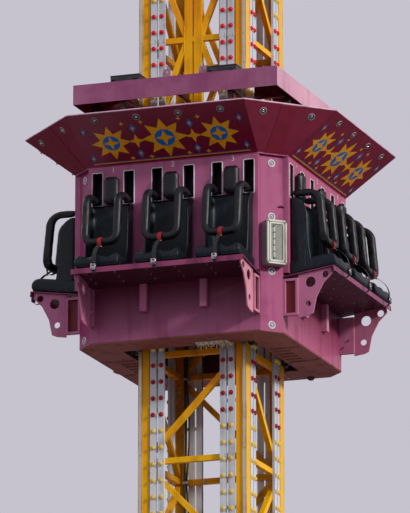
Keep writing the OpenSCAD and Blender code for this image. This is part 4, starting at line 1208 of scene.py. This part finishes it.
def plump(mesh, voxel, most, pinned=None, pressure=4.0):
    """Swells a closed form of foam with cloth under air pressure, by at most so much."""
    soft = bpy.data.objects.new("soft", mesh)
    bpy.context.collection.objects.link(soft)
    remesh = soft.modifiers.new("even", "REMESH")
    remesh.mode, remesh.voxel_size = "VOXEL", voxel
    settle(soft)
    start = [v.co.copy() for v in soft.data.vertices]
    if pinned:
        hold = soft.vertex_groups.new(name="hold")
        hold.add([i for i, co in enumerate(start) if pinned(co)], 1.0, "ADD")
    cloth = soft.modifiers.new("foam", "CLOTH")
    cloth.settings.use_pressure, cloth.settings.uniform_pressure_force = True, pressure
    cloth.settings.effector_weights.gravity = 0.0
    if pinned:
        cloth.settings.vertex_group_mass = "hold"
    for frame_number in range(1, 21):
        bpy.context.scene.frame_set(frame_number)
    settle(soft)
    bpy.context.scene.frame_set(1)
    for vertex, before in zip(soft.data.vertices, start):
        move = vertex.co - before
        if move.length > most:
            vertex.co = before + move.normalized() * most
    soft.modifiers.new("round", "SUBSURF").levels = 1
    soft.modifiers["round"].render_levels = 1
    settle(soft)
    shape = soft.data
    bpy.data.objects.remove(soft)
    return shape


def stock_mesh(stock, ease=0.0, segments=3):
    """A closed mesh of raw stock, with its edges rounded."""
    mesh = bpy.data.meshes.new("form")
    mesh.from_pydata([tuple(p) for p in stock.points], [], stock.faces)
    build = bmesh.new()
    build.from_mesh(mesh)
    bmesh.ops.recalc_face_normals(build, faces=build.faces)
    if ease:
        bmesh.ops.bevel(build, geom=build.edges[:], offset=ease, segments=segments, affect="EDGES")
    build.to_mesh(mesh)
    build.free()
    return mesh


def set_mesh(stock, mesh, place, shade=0):
    stock.add([v.co for v in mesh.vertices], [list(p.vertices) for p in mesh.polygons], place,
              shade)


rest_form = Stock()
rest_form.block((-0.090, -0.088, 0.006), (0.090, -0.004, 0.316))
rest_shape = plump(stock_mesh(rest_form, 0.026), 0.013, 0.006, pinned=lambda co: co.y > -0.008)
rests = Stock()
for turn in side_place:
    for x in seat_row:
        set_mesh(rests, rest_shape, turn @ shift(x, -panel_face, 1.5005))
headrest_pads = finish_piece("headrest_pads", rests, [black_skin_foam], "carriage",
                             ["headrests"], sharp=80)

# Each rider is held by an over-shoulder restraint: two bent steel bars on a shaft behind the
# slots, joined across the lap and cased in thick skinned foam.
pivot_out, pivot_up = 1.098, 1.560
arm_level, shoulder, lean, drop = 0.310, 0.140, math.radians(6), 0.425


def shoulder_path(start, steps=9):
    """The bar's middle line in its own plane, outwards and up from the pivot, to the lap."""
    path = [(start + (arm_level - start) * n / 3, 0.0) for n in range(3)]
    for n in range(steps + 1):
        turn = (math.pi / 2 - lean) * n / steps
        path.append((arm_level + shoulder * math.sin(turn), -shoulder + shoulder * math.cos(turn)))
    return path


def horseshoe(start, corner):
    """The whole bar, down one side, across the lap and up the other."""
    down = Vector((0, -math.sin(lean), -math.cos(lean)))
    side = [Vector((-slot_x, -out, up)) for out, up in shoulder_path(start)]
    bend_end = side[-1]
    straight = drop - corner
    side += [bend_end + down * straight * n / 5 for n in range(1, 6)]
    turn_centre = side[-1] + Vector((corner, 0, 0))
    for n in range(1, 5):
        a = math.pi / 2 * n / 4
        side.append(turn_centre + Vector((-math.cos(a), 0, 0)) * corner
                    + down * math.sin(a) * corner)
    middle = [Vector((side[-1].x * (1 - n / 3), side[-1].y, side[-1].z)) for n in (1, 2, 3)]
    other = [Vector((-p.x, p.y, p.z)) for p in reversed(side + middle[:2])]
    return side + middle + other


def swept(path, section, first):
    """Rings of a section carried along a path without twist."""
    rings, side = [], Vector(first)
    for i, point in enumerate(path):
        ahead = (path[min(i + 1, len(path) - 1)] - path[max(i - 1, 0)]).normalized()
        side = (side - ahead * side.dot(ahead)).normalized()
        up = side.cross(ahead)
        grow = section(i / (len(path) - 1))
        rings.append([point + side * a + up * b for a, b in grow])
    return rings


def foam_section(t):
    """A soft-cornered section that tapers at both free ends."""
    end = min(t, 1 - t)
    size = 0.82 + 0.18 * smooth_step(end, 0.0, 0.03)
    deep = 0.0375 + 0.0125 * smooth_step(end, 0.10, 0.26)
    return [(0.0385 * size * math.copysign(abs(math.cos(a)) ** 0.54, math.cos(a)),
             deep * size * math.copysign(abs(math.sin(a)) ** 0.54, math.sin(a)))
            for a in (2 * math.pi * n / 16 for n in range(16))]


foam_form = Stock()
foam_form.loft(swept(horseshoe(0.170, 0.085), foam_section, (1, 0, 0)))
foam_shape = plump(stock_mesh(foam_form), 0.0145, 0.004)
bar_form = Stock()
round_bar = circle(0.0205, 12)
for s in (-1, 1):
    bar_form.loft(swept([Vector((s * slot_x, -out, 0)) for out in (0.018, 0.06, 0.11, 0.17, 0.20)],
                        lambda t: round_bar, (1, 0, 0)))
    hub = shift(s * slot_x, 0, 0) @ spin(90, "Y")
    bar_form.turned([(0, -0.023), (0.031, -0.023), (0.034, -0.020), (0.034, 0.020), (0.031, 0.023),
                     (0, 0.023)], 24, hub)
    collar = shift(s * slot_x, -0.163, 0) @ spin(90, "X")
    bar_form.turned([(0, -0.008), (0.026, -0.008), (0.029, -0.004), (0.029, 0.006), (0, 0.006)], 20,
                    collar)
bar_form.turned([(0, -0.203), (0.0195, -0.203), (0.0195, 0.203), (0, 0.203)], 20, spin(90, "Y"))


def webbing(name, colour, dirty):
    """Woven strap with ribs across it."""
    web = Finish(name)
    ribs = web.node("ShaderNodeTexWave", {"bands_direction": "X"},
                    {"Vector": web.place(), "Scale": 160.0, "Distortion": 0.4})
    return web.set(Base_Color=web.mix(web.noise(24, 5), tint(*colour), tint(*dirty)),
                   Roughness=0.78 + ribs * 0.1, Normal=web.bump(ribs, 0.0006))


red_webbing = webbing("red_webbing", (176, 22, 30), (128, 18, 24))
black_webbing = webbing("black_webbing", (20, 20, 24), (48, 46, 50))
strap_form, loop_form = Stock(), Stock()
strap_points = [Vector((0, pivot_out - u, z - pivot_up))
                for u, z in ((1.618, 0.976), (1.650, 0.960), (1.690, 0.936), (1.730, 0.906),
                             (1.766, 0.872), (1.794, 0.832), (1.809, 0.788), (1.813, 0.742))]
web_section = [(-0.023, -0.0014), (-0.021, -0.002), (0.021, -0.002), (0.023, -0.0014)]
web_section += [(-a, -b) for a, b in web_section]
strap_form.loft(swept(strap_points, lambda t: web_section, (1, 0, 0)))
lap_middle = Vector((0, -(arm_level + shoulder * math.cos(lean) + drop * math.sin(lean)),
                     -shoulder + shoulder * math.sin(lean) - drop * math.cos(lean)))
handle = [lap_middle + Vector((0, -0.0565 * math.sin(a) - 0.014 * (1 - math.cos(a)) / 2,
                               0.047 * math.cos(a) - 0.022 * (1 - math.cos(a)) / 2))
          for a in (2 * math.pi * n / 28 for n in range(29))]
loop_form.loft(swept(handle, lambda t: web_section, (1, 0, 0)))
bar_form.block((-0.021, -0.719, -0.832), (0.021, -0.711, -0.812), ease=0.002)
for k, turn in enumerate(side_place):
    for i, x in enumerate(seat_row):
        body = f"restraint_{sides[k]}_{i + 1}"
        there = turn @ shift(x, -pivot_out, pivot_up)
        foam, bars, straps = Stock(), Stock(), Stock()
        set_mesh(foam, foam_shape, there)
        made = finish_piece(f"{body}_foam", foam, [black_skin_foam], body, [body],
                            sharp=80)
        bars.add(bar_form.points, bar_form.faces, there)
        finish_piece(f"{body}_bars", bars, [lid_black], body, sharp=50)
        straps.add(strap_form.points, strap_form.faces, there)
        straps.add(loop_form.points, loop_form.faces, there, 1)
        straps.block((-0.031, -0.566, -0.618), (0.031, -0.554, -0.606), there, ease=0.002, shade=2)
        finish_piece(f"{body}_strap", straps, [black_webbing, red_webbing, chrome], body,
                     sharp=50)

# The lap strap latches into a black buckle with a red button, on a stiff sleeve that is
# bolted to the shelf's front edge.
buckles = Stock()
sleeve = [(-0.020, -1.735), (0.020, -1.735), (0.020, -1.731), (-0.020, -1.731)]
for turn in side_place:
    for seat_x in seat_row:
        there = turn @ shift(seat_x, 0, 0)
        buckles.block((-0.031, -1.826, 0.650), (0.031, -1.799, 0.722), there, ease=0.005)
        buckles.block((-0.028, -1.830, 0.654), (0.028, -1.825, 0.718), there, ease=0.002, shade=2)
        buckles.block((-0.014, -1.834, 0.692), (0.014, -1.827, 0.710), there, ease=0.002, shade=1)
        frame_ring(buckles, 0.012, 0.006, 0.004, 0.003, there @ shift(0, -1.830, 0.669),
                   corner=0.003, shade=0)
        buckles.loft([[(x, y - d, z) for x, y in sleeve]
                      for d, z in ((0.0, 0.640), (0.024, 0.624), (0.054, 0.626), (0.076, 0.648),
                                   (0.080, 0.668))], there)
finish_piece("strap_buckles", buckles, [lid_black, red_webbing, chrome], "carriage",
             sharp=45)

# Two square floodlights in grey cast cases, with cream frames and ribbed glass, are bolted to
# opposite corner facets. A small latch stands out above the one at the front right.
half_w, half_h, lamp_deep = 0.247 / 2, (box_high - box_low) / 2, 0.140
glass_w, glass_h = half_w - 0.058, half_h - 0.050
cases, case_screws = Stock(), []
for k in (0, 2):
    case = side_place[k] @ shift(facet_middle, -facet_middle, box_low) @ spin(45, "Z")
    cases.block((-half_w + 0.003, 0.020 - lamp_deep, 0.003),
                (half_w - 0.003, -0.0004, 2 * half_h - 0.003), case, ease=0.005)
    front = case @ shift(0, 0.020 - lamp_deep, half_h)
    frame_ring(cases, half_w - 0.031, half_h - 0.026, 0.028, 0.020, front, corner=0.004, shade=1)
    frame_ring(cases, glass_w, glass_h, 0.0265, 0.017, front, corner=0.003, shade=1)
    cases.block((-glass_w, -0.006, -glass_h), (glass_w, 0.0, glass_h), front, shade=2)
    tube, tube_end = front @ shift(-glass_w * 0.42, -0.006, 0), glass_h - 0.014
    cases.turned([(0, -tube_end), (0.0075, -tube_end), (0.0075, tube_end), (0, tube_end)], 12, tube,
                 shade=3)
    for n in range(6):
        z = (n - 2.5) * glass_h * 0.36
        cases.block((-0.014, -0.003, z - 0.009), (0.014, 0.0, z + 0.009), tube, shade=4)
        cases.block((-0.010, -0.010, z - 0.007), (0.010, 0.0, z + 0.007), tube, shade=4)
    case_screws += [spot(front, (sx * (half_w - 0.019), -0.020, sz * (half_h - 0.019)), (0, -1, 0))
                    for sx in (-1, 1) for sz in (-1, 1)]
    for z in (half_h - 0.13, half_h + 0.13):
        cases.block((-half_w + 0.001, 0.030 - lamp_deep, z - 0.018),
                    (-half_w + 0.012, 0.006 - lamp_deep, z + 0.018), case, ease=0.003)
case_grey = enamel("case_grey", (138, 132, 132), (160, 154, 152), (70, 60, 58), streaks=0.5,
                   primer=(90, 84, 80), gloss=0.4)
frame_cream = enamel("frame_cream", (186, 185, 172), (198, 197, 186), (126, 116, 102), streaks=0.5,
                     primer=(120, 110, 96), gloss=0.34)
pane = Finish("ribbed_glass")
flutes = pane.node("ShaderNodeTexWave", {"bands_direction": "Z"},
                   {"Vector": pane.place(), "Scale": 26.0})
film = pane.noise(18, 5)
ribbed_glass = pane.set(Base_Color=pane.mix(film, tint(100, 106, 88), tint(72, 80, 66)),
                        Roughness=0.12 + film * 0.2, Coat_Weight=0.7,
                        Normal=pane.bump(flutes, 0.001))
finish_piece("floodlights", cases, [case_grey, frame_cream, ribbed_glass, trim_white, lid_black],
             "carriage", ["box_lamps"], sharp=40)
set_out("floodlight_screws", screws, case_screws, lid_black, "carriage", "black_fitting",
        Size=0.011)
latch = Stock()
catch = side_place[0] @ shift(facet_middle, -facet_middle, 1.385) @ spin(45, "Z")
catch = catch @ shift(0.108, 0, 0)
latch.block((-0.036, -0.0035, -0.012), (0.036, -0.0004, 0.012), catch, ease=0.001)
latch.block((-0.036, -0.0300, -0.0015), (0.036, 0.0, 0.0015),
            catch @ shift(0, -0.003, -0.010) @ spin(-22, "X"), ease=0.001)
latch.block((0.012, -0.020, -0.006), (0.036, -0.002, 0.020), catch, ease=0.002)
finish_piece("facet_latch", latch, [plum_enamel], "carriage")

# The carriage floor is four plates in brown primer, rusting at the edges. The right and left
# plates have rows of pressed vents that end in round holes, and a few small fittings hang below.
floor_coat = enamel("floor_coat", (136, 70, 68), (144, 78, 72), (90, 46, 38), streaks=0.45,
                    chips=0.66, primer=(150, 88, 50), gloss=0.5, broad=1.2, wave=0.1)
dress(floor_coat, "floor_plates")
vents = Stock()
for k in (1, 3):
    for row in range(6):
        row_x, last = (row - 2.5) * 0.126, row in (0, 5)
        reach = 0.076 if last else 0.095
        vent = side_place[k] @ shift(row_x, -0.780 - reach, -0.0005) @ spin(90, "X")
        frame_ring(vents, 0.017, reach, 0.006, 0.004, vent, corner=0.014)
        # A thin black plate in each vent slot is painted shade for the opening.
        vents.block((-0.0165, -0.0008, -reach + 0.001), (0.0165, 0.0, reach - 0.001), vent, shade=1)
        for n in range(4 if last else 0):
            hole = side_place[k] @ shift(row_x, -0.962 - 0.045 * n, -0.0005)
            vents.pipe([(x, y, -0.0008) for x, y in circle(0.0175, 16)], 0.0026, 6, hole,
                       closed=True)
            # A black disc in each round hole is painted shade for the opening.
            vents.turned([(0, -0.0012), (0.0165, -0.0012), (0.0165, 0.0), (0, 0.0)], 16, hole,
                         shade=1)
finish_piece("floor_vents", vents, [floor_coat, dull_black], "carriage", sharp=50)
hangers, hanger_bolts = Stock(), []
hangers.block((0.130, -0.900, -0.011), (0.500, -0.768, -0.0005), side_place[0], ease=0.002)
for n in range(6):
    for y in (-0.788, -0.876):
        stud = side_place[0] @ shift(0.165 + 0.060 * n, y, 0)
        hangers.turned([(0, -0.060), (0.005, -0.058), (0.006, -0.054), (0.006, -0.010),
                        (0, -0.010)], 10, stud)
        hanger_bolts.append(spot(stud, (0, 0, -0.011), (0, 0, -1), (1, 0, 0)))
hangers.pipe([(0.550, 0.790, -0.001), (0.562, 0.792, -0.020), (0.588, 0.796, -0.045),
              (0.618, 0.800, -0.062)], 0.006, 8, side_place[0])
pale_zinc = zinc_plate("pale_zinc", (236, 226, 208), (206, 194, 176), rough=0.7)
finish_piece("hanging_plate", hangers, [pale_zinc], "carriage", sharp=45)
fasten("hanging_nuts", bolts, hanger_bolts, "carriage", 0.010)
rubber_black = clouded("buffer_rubber", (12, 5), (0.4, 0.7), (30, 30, 31), (62, 60, 58),
                       (0.2, 0.62), 0.0005, grain=(220, 3))
dress(rubber_black, "buffers")
stops = Stock()
for x in (-0.77, 0.77):
    stops.turned([(0, 0.0), (0.040, 0.0), (0.041, -0.010), (0.036, -0.024), (0.024, -0.034),
                  (0, -0.038)][::-1], 20, side_place[0] @ shift(x, 1.085, 0))
finish_piece("rubber_stops", stops, [rubber_black], "carriage", sharp=50)

# Cast polyurethane rollers in steel forks run on the rails, and hexagon nuts close their axles.
roller_grey = clouded("roller_grey", (20, 5), (0.4, 0.7), (34, 33, 36), (84, 76, 66), (0.3, 0.35),
                      0.0006, grain=(90, 3, (1, 1, 4)))
dress(roller_grey, "guide_rollers")
axle_nuts = []
for k in range(4):
    across = rail_middle if k % 2 == 0 else column_depth_middle
    for z in (0.048, 1.907):
        for x in (-across, across):
            for s in (-1, 1):
                axle_nuts.append(spot(side_place[k], (x + s * 0.034, -tower_half - 0.0455, z),
                                      (s, 0, 0)))
fasten("axle_nuts", bolts, axle_nuts, "carriage", 0.011)

# Hexagon bolts hold the gussets to their boxes and the seats to the shelves. A dark sheet in
# the framed recess of every box is painted shade.
# Painted shade: a dark, streaked colour for the sheet in each recess.
recess_painted_shade = enamel("recess_painted_shade", (96, 18, 34), (128, 38, 40), (44, 10, 16), streaks=0.8,
                     chips=0.62, gloss=0.5, broad=0.12)
cheek, recess_floor = 0.914, 0.944
shade_sheets, gusset_bolts = Stock(), []
for turn in side_place:
    for s in (-1, 1):
        shade_sheets.between((s * (recess_floor + 0.0004), -1.2995, 0.2165),
                       (s * (recess_floor + 0.0016), -1.1875, 0.5685), turn)
        for u, z in ((1.270, 0.335), (1.270, 0.505), (1.205, 0.255)):
            gusset_bolts.append(spot(turn, (s * (cheek - 0.001), -u, z), (-s, 0, 0)))
    for x in seat_row:
        for dx in (-0.16, 0.16):
            for s in (0.16, 0.30, 0.44, 0.54):
                shelf = turn @ pan_tilt
                gusset_bolts.append((shelf @ Vector((x + dx, -s, -0.001)),
                                     shelf.to_3x3() @ Vector((0, 0, -1)), (1, 0, 0)))
finish_piece("recess_shade_sheets", shade_sheets, [recess_painted_shade], "carriage")
fasten("seat_and_gusset_bolts", bolts, gusset_bolts, "carriage", 0.013)

# A bracket under the hood takes the lifting fall of the hoist rope.
machine_coat = enamel("machine_coat", (84, 90, 98), (112, 116, 122), (46, 40, 36), streaks=0.7,
                      chips=0.65, primer=(96, 60, 44), gloss=0.36)
dress(machine_coat, "hoist_lug", "crown_sheave", "winch")
lug_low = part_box("hoist_lug")[0]
lug_bolts = [((lug_low.x + dx, dy, lug_low.z), (0, 0, -1), (1, 0, 0)) for dx in (0.03, 0.11)
             for dy in (-0.038, 0.038)]
fasten("lug_bolts", bolts, lug_bolts, "carriage", 0.014)

# The hoist rope is one endless loop of six-strand steel wire, black with grease. It runs up
# just outside the tower's left side and down inside it, round the crown and winch sheaves.
rope_radius, loop_radius, rope_out = 0.008, 0.290, 0.682
axle_x = loop_radius - rope_out
low_axle, high_axle = beam_top + 0.340, tower_top + 0.410
loop = []
for side, start, end in ((-1, low_axle, high_axle), (1, high_axle, low_axle)):
    loop += [(axle_x + side * loop_radius, start + (end - start) * n / 48) for n in range(48)]
    for n in range(24):
        a = math.pi * n / 24
        loop.append((axle_x + side * loop_radius * math.cos(a),
                     end - side * loop_radius * math.sin(a)))
rope_mesh = bpy.data.meshes.new("hoist_rope_strands")
section, points, lengths = circle(1.0, 10), [], [0.0]
around = len(section)
for i, (x, z) in enumerate(loop):
    before, after = loop[i - 1], loop[(i + 1) % len(loop)]
    ahead = Vector((after[0] - before[0], 0, after[1] - before[1])).normalized()
    out = ahead.cross(Vector((0, 1, 0)))
    points += [tuple(Vector((x, 0, z)) + out * a * rope_radius
                     + Vector((0, 1, 0)) * b * rope_radius) for a, b in section]
    lengths.append(lengths[-1] + math.dist((x, z), after))
faces, corners = [], []
for i in range(len(loop)):
    for j in range(around):
        a, b, nj = i * around, (i + 1) % len(loop) * around, (j + 1) % around
        faces.append((a + j, a + nj, b + nj, b + j))
        corners += [(j / around, lengths[i]), ((j + 1) / around, lengths[i]),
                    ((j + 1) / around, lengths[i + 1]), (j / around, lengths[i + 1])]
rope_mesh.from_pydata(points, [], faces)
rope_map = rope_mesh.uv_layers.new(name="rope")
for value, corner in zip(rope_map.data, corners):
    value.uv = corner
check = bmesh.new()
check.from_mesh(rope_mesh)
bmesh.ops.recalc_face_normals(check, faces=check.faces)
check.to_mesh(rope_mesh)
check.free()
wire = Finish("greased_wire")
lay, run = [wire.node("ShaderNodeSeparateXYZ", None, {0: wire.node("ShaderNodeTexCoord", out="UV")},
                      out=out) for out in ("X", "Y")]
strand = ((lay * 6.0 - run * (6.0 / 0.105)) * (2 * math.pi)).maths("SINE") * 0.5 + 0.5
grease = wire.noise(9, 5)
wire_shade = wire.mix(strand, tint(26, 24, 24), tint(92, 88, 84))
wire_shade = wire.mix(wire.fade(grease, 0.45, 0.7) * 0.7, wire_shade, tint(30, 27, 25))
rope_mesh.materials.append(wire.set(Base_Color=wire_shade, Metallic=0.55,
                                    Roughness=grease * 0.3 + 0.3, Normal=wire.bump(strand, 0.0018)))
rope = bpy.data.objects.new("hoist_rope_strands", rope_mesh)
bpy.context.collection.objects.link(rope)
rope_mesh.shade_smooth()
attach(rope, "tower")
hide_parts("hoist_rope")

# At the winch a finned electric motor with a cowled fan turns the lower sheave through a
# bolted gearbox. At the crown the sheave's axle is kept by bolted plates on both cheeks.
motor = shift(axle_x + 0.150, 0.196, beam_top + 0.150)
motor_axis = motor @ spin(90, "Y")
gear_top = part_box("winch")[1].z
fins, winch_bolts = Stock(), []
for n in range(28):
    turn = motor @ Matrix.Rotation(2 * math.pi * n / 28, 4, "X")
    if math.cos(2 * math.pi * n / 28) > -0.55:
        fins.block((0.045, -0.0018, 0.112), (0.285, 0.0018, 0.124), turn, ease=0.0006)
fins.turned([(0, 0.300), (0.122, 0.300), (0.124, 0.304), (0.124, 0.372), (0.112, 0.379),
             (0, 0.379)], 32, motor_axis)
fins.block((0.090, -0.062, 0.112), (0.210, 0.062, 0.178), motor, ease=0.006)
for n in range(5):
    ring = 0.020 + 0.018 * n
    fins.turned([(0, 0.3795), (ring, 0.3795), (ring, 0.3815), (0, 0.3815)], 28, motor_axis)
for x in (axle_x - 0.125, axle_x + 0.125):
    for y in (0.115, 0.277):
        fins.block((x - 0.018, y - 0.018, gear_top - 0.006),
                   (x + 0.018, y + 0.018, gear_top + 0.004), ease=0.002)
        winch_bolts.append(((x, y, gear_top + 0.004), (0, 0, 1), (1, 0, 0)))
winch_bolts += [((axle_x + a, 0.2965, low_axle + b), (0, 1, 0), (0, 0, 1))
                for a, b in circle(0.085, 8)]
fins.turned([(0, -0.296), (0.108, -0.296), (0.108, -0.302), (0.060, -0.308), (0, -0.308)][::-1], 28,
            shift(axle_x, 0, low_axle) @ spin(90, "X"))
finish_piece("winch_motor_fins", fins, [machine_coat], "tower", sharp=40)
keeper = Stock()
for s in (-1, 1):
    keeper.between((axle_x - 0.040, s * 0.0505, high_axle + 0.012),
                   (axle_x + 0.040, s * 0.0585, high_axle + 0.030), ease=0.002)
    for x in (-0.028, 0.028):
        winch_bolts.append(((axle_x + x, s * 0.059, high_axle + 0.021), (0, s, 0), (0, 0, 1)))
    for x in (-0.13, 0.0, 0.13):
        winch_bolts.append(((axle_x + x, s * 0.0505, tower_top + 0.125), (0, s, 0), (0, 0, 1)))
finish_piece("axle_keepers", keeper, [machine_coat], "tower")
fasten("machine_bolts", bolts, winch_bolts, "tower", 0.012)

# The base is welded from I-beams on galvanised screw feet. Web stiffeners stand under the
# columns, whose shoes are held by four large bolts each.
zinc_dip = zinc_plate("zinc_dip", (150, 154, 158), (116, 118, 122), rough=0.62)
dress(zinc_dip, "levelling_feet")
foot_nuts, stiffeners = [], Stock()
beam_x, beam_y, foot_out = (-0.558, 0.558), (-0.546, 0.546), 2.75
foot_spots = [(x, y) for x in (-foot_out, *beam_x, foot_out) for y in beam_y]
foot_spots += [(x, y) for x in beam_x for y in (-foot_out, foot_out)]
for x, y in foot_spots:
    for n in range(4):
        a = math.pi / 4 + math.pi / 2 * n
        foot_nuts.append(((x + 0.115 * math.cos(a), y + 0.115 * math.sin(a), 0.025), (0, 0, 1),
                          (1, 0, 0)))
fasten("foot_pad_bolts", bolts, foot_nuts, "tower", 0.013)
web_out, flange_edge, web_low, web_high, plate_half = 0.006, 0.094, 0.138, 0.402, 0.005
for y in beam_y:
    for x in (-2.85, -2.3, -1.4, -0.618, -0.498, 0.498, 0.618, 1.4, 2.3, 2.85):
        for s in (-1, 1):
            stiffeners.between((x - plate_half, y + s * web_out, web_low),
                               (x + plate_half, y + s * flange_edge, web_high), ease=0.0015)
for x in beam_x:
    for y in (-2.85, -2.3, -1.4, 1.4, 2.3, 2.85):
        for s in (-1, 1):
            stiffeners.between((x + s * web_out, y - plate_half, web_low),
                               (x + s * flange_edge, y + plate_half, web_high), ease=0.0015)
finish_piece("beam_stiffeners", stiffeners, [yellow_enamel], "tower")
shoe_bolts = [((x + dx, y + dy, beam_top + 0.020), (0, 0, 1), (1, 0, 0)) for x in beam_x
              for y in beam_y for dx in (-0.098, 0.098) for dy in (-0.098, 0.098)]
fasten("shoe_bolts", bolts, shoe_bolts, "tower", 0.020)

# Riders board from a deck of chequer plate on a steel frame, and from two short flights of
# steps. Shoes have polished the raised bars, and dirt lies between them. The deck's outer
# legs stand on bolted foot plates.
tread = Finish("chequer_plate")
cell = 0.030
diagonal_a = (tread.axis("X") + tread.axis("Y")) / cell
diagonal_b = (tread.axis("X") - tread.axis("Y")) / cell
near_a, near_b = abs(diagonal_a % 1.0 - 0.5), abs(diagonal_b % 1.0 - 0.5)
odd = ((diagonal_a - diagonal_a % 1.0 + (diagonal_b - diagonal_b % 1.0)) % 2.0) > 0.5
long_a = (1.0 - tread.fade(near_a, 0.34, 0.42)) * (1.0 - tread.fade(near_b, 0.08, 0.17))
long_b = (1.0 - tread.fade(near_b, 0.34, 0.42)) * (1.0 - tread.fade(near_a, 0.08, 0.17))
bars = (long_a * odd + long_b * (1.0 - odd)) * (tread.facing() > 0.5)
walked = tread.fade(tread.noise(1.3, 4), 0.35, 0.65)
muck = tread.noise(5, 7, rough=0.6)
tread_shade = tread.mix(bars * (walked * 0.6 + 0.3), tint(104, 106, 110), tint(176, 178, 180))
tread_shade = tread.mix(tread.fade(muck, 0.5, 0.7) * 0.55, tread_shade, tint(74, 66, 60))
tread_plate = tread.set(Base_Color=tread_shade, Metallic=bars * 0.5 + 0.2,
                        Roughness=muck * 0.3 + 0.4, Normal=tread.bump(bars, 0.0022))
dress(tread_plate, "boarding_deck", "deck_steps")
edging, deck_screws = Stock(), []
well, deck_top, deck_half = 1.320, 0.700, 2.900
for k in range(4):
    edging.block((-well - 0.09, -well - 0.090, deck_top - 0.0005),
                 (well, -well - 0.004, deck_top + 0.0022), side_turn[k], ease=0.0006)
    for point in along((-well - 0.05, -well - 0.05, deck_top + 0.0022),
                       (well - 0.08, -well - 0.05, deck_top + 0.0022), 11):
        deck_screws.append((side_turn[k] @ point, (0, 0, 1), (1, 0, 0)))
    for point in along((-2.7, -2.86, deck_top), (2.7, -2.86, deck_top), 15):
        deck_screws.append((side_turn[k] @ point, (0, 0, 1), (1, 0, 0)))
for k in (0, 2):
    for n in (1, 2, 3):
        front = -deck_half - 0.0003 - (4 - n) * 0.260
        edging.block((-0.449, front + 0.001, 0.175 * n - 0.0005),
                     (0.449, front + 0.055, 0.175 * n + 0.0025), side_turn[k], ease=0.0006)
foot_plates, foot_bolts, foot_side = Stock(), [], 0.130
for sx in (-1, 1):
    for middle_y in (-2.870, -1.350, 1.350, 2.870):
        low_y = max(-deck_half, min(deck_half - foot_side, middle_y - foot_side / 2))
        foot_plates.between((sx * (deck_half - foot_side), low_y, 0.0),
                            (sx * deck_half, low_y + foot_side, 0.008), ease=0.0015)
        for y in (low_y + 0.020, low_y + 0.110):
            foot_bolts.append(((sx * (deck_half - 0.112), y, 0.008), (0, 0, 1), (1, 0, 0)))
        for s in (-1, 1):
            foot_plates.plate([(0, 0), (0.030, 0), (0.030, 0.006), (0.006, 0.055), (0, 0.055)],
                              0.006, shift(sx * (deck_half - 0.060), middle_y + s * 0.018, 0.008)
                              @ spin(90 + 90 * sx, "Z") @ spin(90, "X") @ shift(0, 0, -0.003))
finish_piece("deck_feet", foot_plates, [zinc_dip], "tower")
fasten("deck_feet_bolts", bolts, foot_bolts, "tower", 0.012)
edge_yellow = enamel("edge_yellow", (226, 170, 26), (230, 186, 70), (86, 70, 50), streaks=0.7,
                     chips=0.60, primer=(120, 116, 110), gloss=0.5)
finish_piece("deck_edging", edging, [edge_yellow], "tower")
fasten("deck_screws", screws, deck_screws, "tower", 0.008)
